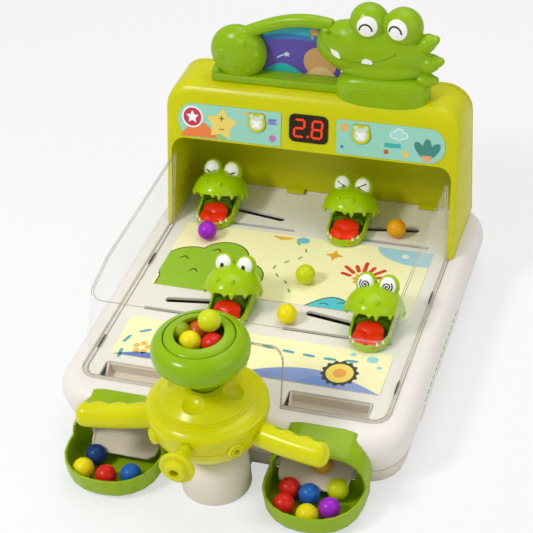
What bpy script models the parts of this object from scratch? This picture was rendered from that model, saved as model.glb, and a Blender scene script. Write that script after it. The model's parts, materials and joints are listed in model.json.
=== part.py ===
"""Tabletop pinball game: a slotted playfield with four gaping crocodile targets, an arch with a
score display behind it, a clear guard round it, and a steerable ball shooter with a feed hopper
in front. Metres, +Z up, the player stands at -Y. The origin is on the underside of the base."""

import bpy
import bmesh
from math import acos, atan, cos, pi, radians, sin, sqrt, tan
from mathutils import Matrix, Vector

# General clearances and resolutions

seat_gap = 0.0003
cut_overrun = 0.004
wall = 0.0025
corner_steps = 3
turned_steps = 18

# Base: a shallow bottom tray, and an upper shell with a well that holds the playfield

base_half_width = 0.168
base_half_depth = 0.188
base_corner_radius = 0.042
seam_height = 0.017
rim_height = 0.058
shell_inset = 0.013
shell_profile_shares = [(0.62, 0.0), (0.22, 0.28), (0.0, 0.60), (0.14, 0.80), (0.46, 0.94), (1.0, 1.0)]
tray_inset = 0.013
tray_profile_shares = [(1.0, 0.0), (0.82, 0.14), (0.66, 0.45), (0.55, 1.0)]
tray_wall = 0.003
well_half_width = 0.143
well_front = -0.1565
well_back = 0.166
well_radius = 0.012
well_depth = 0.004
ledge_width = 0.005
ledge_thickness = 0.003
shell_wall = 0.003

# Playfield deck, its ball troughs, slots and printed mats

deck_thickness = 0.003
deck_clearance = 0.0005
trough_centre_x = 0.089
trough_half_length = 0.0395
trough_corner = 0.003
trough_back = -0.1345
mat_thickness = 0.0004
mat_half_width = 0.130
front_mat_front = -0.124
front_mat_back = -0.068
rear_mat_front = -0.016
rear_mat_back = 0.090

# Rows of crocodile targets: where the slots lie and how far a row travels

row_inner_x = 0.0375
row_travel = 0.065
rear_slot_y = 0.0995
front_slot_y = -0.0525
straight_slot_width = 0.0044
cam_slot_width = 0.0076
cam_offset_low = 0.0167
cam_travel = 0.010
cam_slot_end = 0.001
slot_end_gap = 0.001
foot_half_length = 0.020
foot_thickness = 0.003
foot_depth = 0.0073
bar_half_width = 0.005
bar_thickness = 0.004
bar_overhang = 0.004

# Crocodile target: jaw tray, rocking head, tongue and cam follower

deck_slide_gap = 0.0004
jaw_half_width = 0.0195
jaw_front = -0.020
jaw_back = 0.036
jaw_corner = 0.008
jaw_floor = 0.003
jaw_wall = 0.0022
jaw_front_height = 0.0095
jaw_hinge_height = 0.022
hinge_y = 0.028
hinge_z = 0.018
hinge_pin_radius = 0.0022
hinge_pin_reach = 0.0256
head_half_width = 0.028
head_half_length = 0.031
head_height = 0.0235
head_centre_y = -0.008
head_wall = 0.002
head_open_angle = radians(27)
eye_spacing = 0.0106
eye_y = -0.0047
eye_z = 0.0222
eye_half_width = 0.0104
eye_half_depth = 0.0085
eye_half_height = 0.0115
tongue_half_width = 0.0140
tongue_front = -0.0140
tongue_back = 0.0108
tongue_thickness = 0.0036
follower_half_width = 0.009
follower_half_length = 0.005
follower_thickness = 0.003
follower_pin_radius = 0.003
follower_pin_drop = 0.0055
jaw_slot_half_width = 0.0034
ear_radius = 0.0052
ear_inner_x = 0.0222
ear_outer_x = 0.0260
pin_clearance = 0.0003

# Arch with its leaning face, and the rear cover that closes it

arch_half_width = 0.151
arch_top = 0.2055
arch_corner_radius = 0.027
arch_face_foot_y = 0.0825
arch_lean = 0.2754
arch_back_y = 0.1685
arch_edge = 0.005
arch_top_edge = 0.010
opening_half_width = 0.1445
opening_top = 0.150
opening_radius = 0.014
header_wall = 0.003
rear_cover_thickness = 0.005
back_wall_foot = 0.0035
back_tab_half_width = 0.0095
back_tab_places = [-0.1065, -0.0355, 0.0355, 0.1065]

# Display, panels and push buttons on the leaning face, measured along the face from its foot

panel_thickness = 0.0005
panel_low = 0.0985
panel_high = 0.1335
panel_inner_x = 0.0285
panel_outer_x = 0.137
panel_radius = 0.0165
window_half_width = 0.0172
window_low = 0.1085
window_high = 0.1315
window_radius = 0.003
window_depth = 0.004
bezel_width = 0.0028
bezel_height = 0.0012
board_half_width = 0.026
board_thickness = 0.0016
display_depth = 0.007
button_x = 0.0535
button_face_height = 0.1205
button_radius = 0.0095
button_depth = 0.0060
button_proud = 0.0026
button_flange = 0.0015
button_flange_thickness = 0.0012
frog_eye_radius = 0.0034
frog_eye_x = 0.0052
frog_eye_rise = 0.0068
button_gap = 0.0004

# Crest on top of the arch

crest_y = 0.1435
crest_half_depth = 0.013
strip_left = -0.110
strip_height = 0.008
neck_left = 0.024
neck_right = 0.116
neck_height = 0.024
neck_radius = 0.012
head_x = 0.061
head_z = 0.251
crest_head_size = Vector((0.0555, 0.0170, 0.0295))
snout_x = 0.040
snout_z = 0.243
snout_size = Vector((0.0345, 0.0185, 0.0215))
crest_eye_places = [(0.0575, 0.2815), (0.0880, 0.2775)]
crest_eye_radius = 0.0195
crest_eye_depth = 0.0165
scute_places = [(0.112, 0.268), (0.1185, 0.248), (0.1115, 0.231)]
scute_radius = 0.0105
bulb_x = -0.078
bulb_z = 0.2385
bulb_radius = 0.0285
band_radius = 0.006
band_right = 0.006
band_rise = 0.0225
backdrop_thickness = 0.002

# Clear guard round the playfield

guard_half_width = 0.145
guard_draft = 0.0035
guard_wall = 0.002
guard_height = 0.0755
guard_front_height = 0.062
guard_front_y = -0.159
guard_front_shares = [(0.0, 0.0), (0.30, 0.42), (0.55, 0.72), (0.80, 0.91), (1.0, 1.0)]
guard_front_run = 0.031
guard_radius = 0.013
guard_flange = 0.0018
guard_flange_thickness = 0.002
muzzle_gap_half_width = 0.049
muzzle_gap_height = 0.050
muzzle_gap_radius = 0.012

# Shooter: pedestal, feed tube, hopper, turret, handles, barrel and plunger

turret_y = -0.206
pedestal_radius = 0.0315
pedestal_height = 0.032
pedestal_web_half_width = 0.024
tube_radius = 0.013
tube_bore = 0.0106
tube_foot = 0.022
tube_top = 0.1345
tube_floor = 0.080
plug_thickness = 0.004
collar_radius = 0.0165
collar_top = 0.0449
collar_thickness = 0.0024
shot_height = 0.090
shot_window = 0.0105
shot_window_low = 0.0792
shot_window_high = 0.101
turret_clearance = 0.0012
turret_low = 0.0452
turret_seam = 0.080
turret_top = 0.1182
turret_radius = 0.0535
hopper_low = 0.1305
hopper_radius = 0.0425
hopper_rim = 0.1704
hopper_top = 0.1735
ring_seat = 0.168
ring_ledge_radius = 0.0286
hopper_ring_radius = 0.0306
barrel_radius = 0.0145
barrel_bore = 0.0106
barrel_start = 0.0145
barrel_length = 0.052
handle_height = 0.079
handle_radius = 0.0118
handle_reach = 0.115
handle_sweep = 0.016
handle_root = 0.044
grip_scallops = 3
rod_radius = 0.0045
rod_front = 0.0745
knob_radius = 0.0155
knob_thickness = 0.005
knob_boss_radius = 0.0095
knob_boss_length = 0.010
knob_hole_radius = 0.0035
striker_radius = 0.0085
striker_y = 0.0185
striker_thickness = 0.004
nose_radius = 0.0035
nose_length = 0.006
spring_radius = 0.0068
spring_wire_radius = 0.0006
spring_turns = 6
spring_end_gap = 0.0004

# Ball pockets and the chutes that feed them

pocket_x = 0.094
pocket_half_width = 0.046
pocket_front = -0.254
pocket_back = -0.1892
pocket_radius = 0.041
pocket_back_radius = 0.006
pocket_low = 0.0012
pocket_rim = 0.024
pocket_sill = 0.0155
pocket_sill_x = 0.0885
pocket_sill_half_width = 0.0362
pocket_foot_shares = [(0.22, 0.0), (0.10, 0.10), (0.03, 0.34), (0.0, 1.0)]
pocket_taper = 0.036
hood_top_back = 0.0620
hood_top_front = 0.0525
hood_back = -0.176
hood_front = -0.205
hood_radius = 0.026
hood_wall = 0.003
mouth_low = 0.0185
mouth_high = 0.0445
mouth_radius = 0.010

# Balls

ball_radius = 0.00975
field_ball_places = [(-0.0995, 0.067), (0.0193, 0.0186)]
hopper_ball_offset = (0.0062, 0.0105)
hopper_ball_height = 0.1782
pocket_ball_place = (0.1115, -0.2269)

# Derived levels

deck_low = rim_height - well_depth + seat_gap
deck_top = deck_low + deck_thickness
mat_top = deck_top + seat_gap + mat_thickness
row_outer_x = row_inner_x + row_travel
face_angle = atan(arch_lean)

# Scene and collections

for old in list(bpy.data.objects):
    bpy.data.objects.remove(old, do_unlink=True)

parts = bpy.data.collections.new("tabletop_pinball_game")
cutters = bpy.data.collections.new("cutters")
bpy.context.scene.collection.children.link(parts)
bpy.context.scene.collection.children.link(cutters)

# Materials


def plastic(name, colour, roughness=0.35, metallic=0.0):
    """A Principled material in one colour."""
    material = bpy.data.materials.new(name)
    material.use_nodes = True
    shader = material.node_tree.nodes["Principled BSDF"]
    shader.inputs["Base Color"].default_value = (*colour, 1.0)
    shader.inputs["Roughness"].default_value = roughness
    shader.inputs["Metallic"].default_value = metallic
    material.diffuse_color = (*colour, 1.0)
    return material


white_plastic = plastic("white_plastic", (0.87, 0.82, 0.77))
cream_plastic = plastic("cream_plastic", (0.84, 0.78, 0.66))
lime_plastic = plastic("lime_plastic", (0.60, 0.62, 0.01))
turret_plastic = plastic("turret_plastic", (0.68, 0.70, 0.01))
leaf_plastic = plastic("leaf_plastic", (0.28, 0.50, 0.02))
hopper_plastic = plastic("hopper_plastic", (0.27, 0.55, 0.01))
tongue_plastic = plastic("tongue_plastic", (1.0, 0.04, 0.0))
clear_plastic = plastic("clear_plastic", (0.93, 0.94, 0.93), 0.08)
print_mint = plastic("print_mint", (0.28, 0.68, 0.52), 0.4)
print_cream = plastic("print_cream", (0.98, 0.93, 0.55), 0.5)
print_violet = plastic("print_violet", (0.10, 0.12, 0.45), 0.5)
display_dark = plastic("display_dark", (0.03, 0.02, 0.01), 0.15)
board_green = plastic("board_green", (0.03, 0.22, 0.08), 0.5)
motor_grey = plastic("motor_grey", (0.35, 0.36, 0.38), 0.4)
bar_nylon = plastic("bar_nylon", (0.80, 0.80, 0.76), 0.5)
steel = plastic("spring_steel", (0.6, 0.6, 0.62), 0.3, 1.0)
ball_purple = plastic("ball_purple", (0.30, 0.02, 0.60), 0.3)
ball_lime = plastic("ball_lime", (0.58, 0.72, 0.02), 0.3)

# Outlines in a plane, as lists of (across, up) points


def filleted(corners, radii, steps=corner_steps):
    """A closed outline through corners, each rounded by its own radius."""
    outline = []
    count = len(corners)
    for place in range(count):
        corner = Vector(corners[place])
        before = (Vector(corners[place - 1]) - corner).normalized()
        after = (Vector(corners[(place + 1) % count]) - corner).normalized()
        radius = radii[place] if isinstance(radii, (list, tuple)) else radii
        if radius <= 0:
            outline.append(corner)
            continue
        half = acos(max(-1.0, min(1.0, before.dot(after)))) / 2
        centre = corner + (before + after).normalized() * radius / sin(half)
        start = corner + before * radius / tan(half) - centre
        turn = pi - 2 * half
        side = 1 if before.x * after.y - before.y * after.x < 0 else -1
        for step in range(steps + 1):
            angle = side * turn * step / steps
            spun = Vector((start.x * cos(angle) - start.y * sin(angle),
                           start.x * sin(angle) + start.y * cos(angle)))
            outline.append(centre + spun)
    return outline


def rounded_block(left, right, low, high, radii, steps=corner_steps):
    """A rectangle outline with rounded corners, from the lower left and counter-clockwise."""
    return filleted([(left, low), (right, low), (right, high), (left, high)], radii, steps)


def slot_outline(start, end, width, steps=corner_steps):
    """A straight slot with round ends between two centre points."""
    along = (Vector(end) - Vector(start)).normalized()
    side = Vector((-along.y, along.x)) * width / 2
    tip = along * width / 2
    corners = [Vector(start) - side - tip, Vector(end) - side + tip,
               Vector(end) + side + tip, Vector(start) + side - tip]
    return filleted([tuple(corner) for corner in corners], width * 0.499, steps)


# Solids


def keep(obj, material, collection=parts):
    """Put an object in its collection with its material."""
    collection.objects.link(obj)
    if material is not None:
        obj.data.materials.append(material)
    return obj


def hide_cutter(obj):
    """Move an object to the cutters, so that it only shapes other pieces."""
    for collection in list(obj.users_collection):
        collection.objects.unlink(obj)
    cutters.objects.link(obj)
    obj.hide_render = True
    obj.display_type = "WIRE"
    return obj


def smooth(obj, angle=radians(40)):
    """Shade a piece smooth, with its sharp edges kept."""
    obj.data.shade_smooth()
    obj.data.set_sharp_from_angle(angle=angle)
    return obj


def from_bmesh(name, bm, material):
    """Turn a finished bmesh into an object with outward faces."""
    bmesh.ops.recalc_face_normals(bm, faces=bm.faces)
    mesh = bpy.data.meshes.new(name)
    bm.to_mesh(mesh)
    bm.free()
    return smooth(keep(bpy.data.objects.new(name, mesh), material))


def loft(name, rows, material, ring_of_rows=False, open_rows=False):
    """Skin through rows of points. Rows are closed loops with capped ends, or the rows themselves
    run in a ring, and then open rows get a cap along each end."""
    bm = bmesh.new()
    grid = [[bm.verts.new(point) for point in row] for row in rows]
    row_pairs = len(grid) if ring_of_rows else len(grid) - 1
    columns = len(grid[0]) - 1 if open_rows else len(grid[0])
    for row in range(row_pairs):
        lower = grid[row]
        upper = grid[(row + 1) % len(grid)]
        for column in range(columns):
            after = (column + 1) % len(lower)
            bm.faces.new((lower[column], lower[after], upper[after], upper[column]))
    if open_rows:
        bm.faces.new([row[0] for row in grid])
        bm.faces.new([row[-1] for row in reversed(grid)])
    elif not ring_of_rows:
        bm.faces.new(list(reversed(grid[0])))
        bm.faces.new(grid[-1])
    return from_bmesh(name, bm, material)


def level(outline, height):
    """Points of a plan outline at one height."""
    return [Vector((point[0], point[1], height)) for point in outline]


def plate(name, outlines, thickness, placing, material):
    """A flat outline with any holes, as a filled 2D curve given half its thickness each way."""
    curve = bpy.data.curves.new(name, "CURVE")
    curve.dimensions = "2D"
    curve.fill_mode = "BOTH"
    curve.extrude = thickness / 2
    for outline in outlines:
        spline = curve.splines.new("POLY")
        spline.points.add(len(outline) - 1)
        for point, place in zip(spline.points, outline):
            point.co = (place[0], place[1], 0.0, 1.0)
        spline.use_cyclic_u = True
    return curve_to_piece(name, curve, placing, material)


def curve_to_piece(name, curve, placing, material):
    """Make a curve a welded mesh piece at its place."""
    guide = bpy.data.objects.new(name + "_curve", curve)
    bpy.context.scene.collection.objects.link(guide)
    guide.matrix_world = placing
    bpy.context.view_layer.update()
    evaluated = guide.evaluated_get(bpy.context.evaluated_depsgraph_get())
    mesh = bpy.data.meshes.new_from_object(evaluated)
    bpy.data.objects.remove(guide, do_unlink=True)
    mesh.name = name
    bm = bmesh.new()
    bm.from_mesh(mesh)
    bmesh.ops.remove_doubles(bm, verts=bm.verts, dist=seat_gap / 30)
    bmesh.ops.transform(bm, matrix=placing, verts=bm.verts)
    bmesh.ops.recalc_face_normals(bm, faces=bm.faces)
    bm.to_mesh(mesh)
    bm.free()
    mesh.materials.clear()
    return smooth(keep(bpy.data.objects.new(name, mesh), material))


def tube(name, route, radius, material, bevel_resolution=2):
    """A round rod or wire along a route, from a bevelled curve with filled caps."""
    curve = bpy.data.curves.new(name, "CURVE")
    curve.dimensions = "3D"
    curve.bevel_depth = radius
    curve.bevel_resolution = bevel_resolution
    curve.use_fill_caps = True
    spline = curve.splines.new("POLY")
    spline.points.add(len(route) - 1)
    for point, place in zip(spline.points, route):
        point.co = (*place, 1.0)
    return curve_to_piece(name, curve, Matrix.Identity(4), material)


def turned(name, profile, centre, material, steps=turned_steps, axis="Z"):
    """A turned piece: a closed (radius, height) profile, outer side downwards, spun by Screw."""
    mesh = bpy.data.meshes.new(name)
    points = [(radius, 0.0, height) for radius, height in profile]
    closed = profile[0][0] > 0 or profile[-1][0] > 0
    edges = [(place, place + 1) for place in range(len(points) - 1)]
    if closed:
        edges.append((len(points) - 1, 0))
    mesh.from_pydata(points, edges, [])
    obj = keep(bpy.data.objects.new(name, mesh), material)
    obj.location = centre
    if axis == "Y":
        obj.rotation_euler = (radians(-90), 0, 0)
    if axis == "X":
        obj.rotation_euler = (0, radians(90), 0)
    screw = obj.modifiers.new("Screw", "SCREW")
    screw.axis = "Z"
    screw.angle = 2 * pi
    screw.steps = steps
    screw.render_steps = steps
    screw.use_merge_vertices = True
    screw.merge_threshold = seat_gap / 30
    screw.use_smooth_shade = True
    return obj


def cylinder(name, centre, radius, length, material=None, axis="Z", sides=16, end_radius=None,
             placing=Matrix.Identity(4)):
    """A cylinder or cone primitive with its axis along X, Y or Z."""
    bm = bmesh.new()
    far = radius if end_radius is None else end_radius
    turn = {"X": Matrix.Rotation(pi / 2, 4, "Y"), "Y": Matrix.Rotation(-pi / 2, 4, "X"), "Z": Matrix.Identity(4)}
    bmesh.ops.create_cone(bm, cap_ends=True, segments=sides, radius1=radius, radius2=far, depth=length,
                          matrix=placing @ Matrix.Translation(centre) @ turn[axis])
    return from_bmesh(name, bm, material)


def box(name, low, high, material=None, placing=Matrix.Identity(4)):
    """A box primitive between two corners."""
    low = Vector(low)
    high = Vector(high)
    bm = bmesh.new()
    size = Matrix.Diagonal((*(high - low), 1.0))
    bmesh.ops.create_cube(bm, size=1.0, matrix=placing @ Matrix.Translation((low + high) / 2) @ size)
    return from_bmesh(name, bm, material)


def ellipsoid(name, centre, semi_axes, material=None, segments=20, rings=12, placing=Matrix.Identity(4)):
    """A sphere primitive stretched to three semi-axes."""
    bm = bmesh.new()
    size = Matrix.Diagonal((*semi_axes, 1.0))
    bmesh.ops.create_uvsphere(bm, u_segments=segments, v_segments=rings, radius=1.0,
                              matrix=placing @ Matrix.Translation(centre) @ size)
    return from_bmesh(name, bm, material)


def combine(target, tool, operation):
    """Cut or join two solids with an exact Boolean."""
    hide_cutter(tool)
    modifier = target.modifiers.new(operation.title(), "BOOLEAN")
    modifier.operation = operation
    modifier.object = tool
    modifier.solver = "EXACT"
    return target


def cut(target, *tools):
    for tool in tools:
        combine(target, tool, "DIFFERENCE")
    return target


def join(target, *tools):
    for tool in tools:
        combine(target, tool, "UNION")
    return target


def hang_on(name, point, pieces):
    """Parent a moving body's pieces to an empty on its joint's axis, with their shapes left where they are."""
    axis = bpy.data.objects.new(name, None)
    parts.objects.link(axis)
    axis.location = point
    for piece in pieces:
        piece.parent = axis
        piece.matrix_parent_inverse = Matrix.Translation(-Vector(point))
    return axis


def offset_path(path, thickness, hole_first):
    """The inner side of a turned wall: path moved inwards, its hole end kept at its radius."""
    inner = []
    last = len(path) - 1
    for place, (radius, height) in enumerate(path):
        before = path[max(place - 1, 0)]
        after = path[min(place + 1, last)]
        run = Vector((after[0] - before[0], after[1] - before[1])).normalized()
        at_hole = place == 0 if hole_first else place == last
        at_seam = place == last if hole_first else place == 0
        if at_hole:
            inner.append((radius, height - thickness if hole_first else height + thickness))
        elif at_seam:
            inner.append((radius - thickness, height))
        else:
            inner.append((radius + run.y * thickness, height - run.x * thickness))
    return inner


def scaled(shares, radius, low, high):
    """A profile of (radius share, height share) pairs brought to its sizes."""
    return [(share * radius, low + rise * (high - low)) for share, rise in shares]


def face_y(height):
    """Where the leaning front face of the arch stands at a height."""
    return arch_face_foot_y + arch_lean * (height - deck_top)


def on_face(across, up, out=0.0):
    """Placing on the leaning face: across it, up along it and out of it towards the player."""
    side = Vector((1, 0, 0))
    rise = Vector((0, sin(face_angle), cos(face_angle)))
    outward = Vector((0, -cos(face_angle), sin(face_angle)))
    foot = Vector((0, arch_face_foot_y, deck_top))
    spot = foot + side * across + rise * up + outward * out
    turn = Matrix((side, rise, outward)).transposed().to_4x4()
    return Matrix.Translation(spot) @ turn


def upright(y):
    """Placing for an outline drawn in (x, z), facing the player, at one depth."""
    return Matrix.Translation((0, y, 0)) @ Matrix.Rotation(pi / 2, 4, "X")


def flat(height):
    return Matrix.Translation((0, 0, height))


def base_outline(inset):
    """Plan outline of the base, moved inwards by inset."""
    across = base_half_width - inset
    along = base_half_depth - inset
    return rounded_block(-across, across, -along, along, max(base_corner_radius - inset, wall), 5)


def base_envelope(name, grow):
    """The outside of the base as one solid, grown by a gap, to cut neighbours with."""
    rows = [level(base_outline(tray_inset * share - grow), seam_height * rise - grow)
            for share, rise in tray_profile_shares]
    span = rim_height - seam_height
    rows += [level(base_outline(shell_inset * share - grow), seam_height + span * rise + grow)
             for share, rise in shell_profile_shares]
    return loft(name, rows, None)


# Outside of the turret, which the base and the handles make room for

shooter_centre = Vector((0, turret_y, 0))
tube_hole = tube_radius + turret_clearance
upper_shares = [(0.467, 0.929), (0.636, 0.811), (0.753, 0.692), (0.772, 0.645), (0.916, 0.574),
                (0.985, 0.440), (1.0, 0.310), (0.968, 0.0)]
lower_shares = [(0.963, 1.0), (0.940, 0.810), (0.880, 0.610), (0.785, 0.384), (0.664, 0.202), (0.636, 0.105),
                (0.450, 0.023)]
seam_up = turret_seam + seat_gap / 2
seam_down = turret_seam - seat_gap / 2
upper_path = [(tube_hole, turret_top)] + scaled(upper_shares, turret_radius, seam_up, turret_top)
lower_path = scaled(lower_shares, turret_radius, turret_low, seam_down) + [(tube_hole, turret_low)]


def turret_envelope(name, grow):
    """The outside of the turret as one solid, grown by a gap."""
    path = [(0.0, turret_top + grow)]
    path += [(radius + grow, height + grow) for radius, height in upper_path[1:]]
    path += [(radius + grow, height - grow) for radius, height in lower_path]
    path += [(0.0, turret_low - grow)]
    return turned(name, path, shooter_centre, None, 20)


# Base tray, with the battery door in its floor

tray_rows = [level(base_outline(tray_inset * share), seam_height * rise - seat_gap / 2)
             for share, rise in tray_profile_shares]
tray_rows[0] = level(base_outline(tray_inset), 0.0)
tray_rows += [level(base_outline(tray_inset * share + tray_wall), max(seam_height * rise - seat_gap / 2, tray_wall))
              for share, rise in reversed(tray_profile_shares)]
base_tray = loft("base_tray", tray_rows, cream_plastic)
battery_half_width = 0.040
battery_front = -0.112
battery_back = -0.042
battery_corner = 0.006
battery_grip_half_width = 0.012
battery_grip_depth = 0.0012
door_hole = plate("door_hole", [rounded_block(-battery_half_width, battery_half_width, battery_front, battery_back,
                                              battery_corner)], tray_wall * 4, flat(0.0), None)
cut(base_tray, door_hole)
battery_door = plate("battery_door", [rounded_block(-battery_half_width + seat_gap, battery_half_width - seat_gap,
                                                    battery_front + seat_gap, battery_back - seat_gap,
                                                    battery_corner)],
                     tray_wall - battery_grip_depth, flat(tray_wall / 2), cream_plastic)
grip = box("door_grip", (-battery_grip_half_width, battery_front + battery_corner, -tray_wall),
           (battery_grip_half_width, battery_front + battery_corner * 2, battery_grip_depth * 1.5))
cut(battery_door, grip)

# Base shell: outside, rim, well, ledge and inside as one ring of rows


def well_outline(inset):
    """Plan outline of the well that the deck lies in."""
    return rounded_block(-well_half_width + inset, well_half_width - inset, well_front + inset, well_back - inset,
                         max(well_radius - inset, wall), 5)


shell_span = rim_height - seam_height
shell_low = seam_height + seat_gap / 2
well_floor = rim_height - well_depth
shell_rows = [level(base_outline(shell_inset * share), max(seam_height + shell_span * rise, shell_low))
              for share, rise in shell_profile_shares]
shell_rows += [level(well_outline(0.0), rim_height), level(well_outline(0.0), well_floor),
               level(well_outline(ledge_width), well_floor),
               level(well_outline(ledge_width), well_floor - ledge_thickness)]
shell_rows += [level(base_outline(shell_inset * share + shell_wall), seam_height + shell_span * rise)
               for share, rise in reversed(shell_profile_shares[1:4])]
shell_rows += [level(base_outline(shell_inset * shell_profile_shares[0][0] + shell_wall), shell_low)]
base_shell = loft("base_shell", shell_rows, white_plastic, ring_of_rows=True)
for side in (-1, 1):
    mouth = plate("mouth_cutter", [rounded_block(side * trough_centre_x - trough_half_length,
                                                 side * trough_centre_x + trough_half_length,
                                                 mouth_low, mouth_high, mouth_radius)],
                  base_corner_radius, upright(-base_half_depth), None)
    fall = box("fall_cutter", (side * trough_centre_x - trough_half_length, well_front + seat_gap,
                               well_floor - ledge_thickness * 2),
               (side * trough_centre_x + trough_half_length, trough_back, rim_height))
    cut(base_shell, mouth, fall)

saddle_half_width = 0.045
saddle_front = -0.181
saddle_low = 0.037
saddle = box("saddle", (-saddle_half_width, saddle_front, saddle_low),
             (saddle_half_width, well_front + ledge_width / 2, well_floor - wall / 2))
join(base_shell, saddle)
cut(base_shell, turret_envelope("saddle_scoop", turret_clearance * 1.5))

# Playfield deck with its ball troughs and slots

deck_half_width = well_half_width - deck_clearance
deck_front = well_front + deck_clearance
deck_back = well_back - deck_clearance
trough_inner = trough_centre_x - trough_half_length
trough_outer = trough_centre_x + trough_half_length
deck_corners = [(-deck_half_width, deck_front), (-trough_outer, deck_front), (-trough_outer, trough_back),
                (-trough_inner, trough_back), (-trough_inner, deck_front), (trough_inner, deck_front),
                (trough_inner, trough_back), (trough_outer, trough_back), (trough_outer, deck_front),
                (deck_half_width, deck_front), (deck_half_width, deck_back), (-deck_half_width, deck_back)]
finger = trough_corner
deck_radii = [well_radius, finger, finger, finger, finger, finger, finger, finger, finger,
              well_radius, well_radius, well_radius]
deck_outlines = [filleted(deck_corners, deck_radii)]
cam_high = cam_offset_low + cam_travel
for slot_y, near_offset, far_offset in ((rear_slot_y, cam_offset_low, cam_high),
                                        (front_slot_y, cam_high, cam_offset_low)):
    for side in (-1, 1):
        near_x = side * (row_inner_x - foot_half_length - slot_end_gap + straight_slot_width / 2)
        far_x = side * (row_outer_x + foot_half_length + slot_end_gap - straight_slot_width / 2)
        deck_outlines.append(slot_outline((near_x, slot_y), (far_x, slot_y), straight_slot_width, 3))
        near_cam = (side * (row_inner_x - cam_slot_end), slot_y + near_offset)
        far_cam = (side * (row_outer_x + cam_slot_end), slot_y + far_offset)
        deck_outlines.append(slot_outline(near_cam, far_cam, cam_slot_width, 4))
playfield_deck = plate("playfield_deck", deck_outlines, deck_thickness, flat(deck_low + deck_thickness / 2),
                       white_plastic)

mat_height = deck_top + seat_gap + mat_thickness / 2
front_mat = plate("front_mat", [rounded_block(-mat_half_width, mat_half_width, front_mat_front, front_mat_back,
                                              trough_corner)], mat_thickness, flat(mat_height), print_cream)
rear_mat = plate("rear_mat", [rounded_block(-mat_half_width, mat_half_width, rear_mat_front, rear_mat_back,
                                            trough_corner)], mat_thickness, flat(mat_height), print_cream)

# Arch front: pillars and header lofted from the leaning face to the back


def arch_row(side_inset, top_inset, depth, clear=0.0):
    """One row of the arch: its outline at a depth behind the leaning face, or at a fixed back."""
    half = arch_half_width - side_inset
    low = rim_height + seat_gap + clear
    radius = max(arch_corner_radius - top_inset, wall)
    outline = rounded_block(-half, half, low, arch_top - top_inset, [0, 0, radius, radius], 5)
    return [Vector((x, face_y(z) + depth, z)) for x, z in outline]


def at_depth(row, y):
    return [Vector((point.x, y, point.z)) for point in row]


arch_rows = [arch_row(arch_edge, arch_top_edge, 0.0),
             arch_row(arch_edge * 0.30, arch_top_edge * 0.42, arch_edge * 0.30),
             arch_row(0.0, arch_top_edge * 0.12, arch_edge),
             arch_row(0.0, 0.0, arch_edge * 2)]
arch_rows.append(at_depth(arch_row(0.0, 0.0, 0.0), arch_back_y))
arch_front = loft("arch_front", arch_rows, lime_plastic)
opening = plate("opening_cutter", [rounded_block(-opening_half_width, opening_half_width,
                                                 rim_height - opening_radius, opening_top, opening_radius, 6)],
                base_half_depth, upright(arch_face_foot_y + arch_edge), None)
header_half = arch_half_width - header_wall
header_low = opening_top + header_wall


def header_row(top_inset, depth):
    """One row of the hollow behind the header's face."""
    radius = arch_corner_radius - top_inset
    outline = rounded_block(-header_half, header_half, header_low, arch_top - header_wall - top_inset,
                            [wall, wall, radius, radius], 4)
    return [Vector((x, face_y(z) + depth, z)) for x, z in outline]


header_full = header_row(0.0, header_wall + arch_top_edge)
header = loft("header_cutter", [header_row(arch_top_edge, header_wall), header_full,
                                at_depth(header_full, arch_back_y + cut_overrun)], None)
window_cut = plate("window_cutter", [rounded_block(-window_half_width, window_half_width, window_low, window_high,
                                                   window_radius)],
                   header_wall * 4, on_face(0, 0), None)
cut(arch_front, opening, header, window_cut)


button_points = 24


def frog_outline(side, grow):
    """Outline of a round button with two eye bumps on its upper edge, on the leaning face."""
    outline = []
    for step in range(button_points):
        ray = Vector((cos(2 * pi * step / button_points), sin(2 * pi * step / button_points)))
        reach = button_radius + grow
        for eye in (-1, 1):
            middle = Vector((eye * frog_eye_x, frog_eye_rise))
            along = middle.dot(ray)
            inside = (frog_eye_radius + grow) ** 2 - middle.length_squared + along * along
            if inside > 0 and along > 0:
                reach = max(reach, along + sqrt(inside))
        outline.append(Vector((side * button_x, button_face_height)) + ray * reach)
    return outline


def make_button(name, side):
    middle = (button_proud - button_depth) / 2
    button = plate(name, [frog_outline(side, 0.0)], button_proud + button_depth, on_face(0, 0, middle), lime_plastic)
    flange_out = -header_wall - button_gap * 2 - button_flange_thickness / 2
    flange = cylinder("button_flange", Vector(), button_radius + button_flange, button_flange_thickness,
                      sides=20, placing=on_face(side * button_x, button_face_height, flange_out))
    return join(button, flange)


for side in (-1, 1):
    cut(arch_front, plate("button_hole", [frog_outline(side, button_gap)], header_wall * 4, on_face(0, 0), None))

left_button = make_button("left_button", -1)
right_button = make_button("right_button", 1)

# Panel stickers, display window, display board and the rear cover

panel_out = seat_gap + panel_thickness / 2
for name, side in (("left_panel_sticker", -1), ("right_panel_sticker", 1)):
    left, right = sorted((side * panel_inner_x, side * panel_outer_x))
    outer_radii = [panel_radius, wall, wall, panel_radius] if side < 0 else [wall, panel_radius, panel_radius, wall]
    sticker_outlines = [rounded_block(left, right, panel_low, panel_high, outer_radii, 5),
                        frog_outline(side, button_gap)]
    plate(name, sticker_outlines, panel_thickness, on_face(0, 0, panel_out), print_mint)

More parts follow.
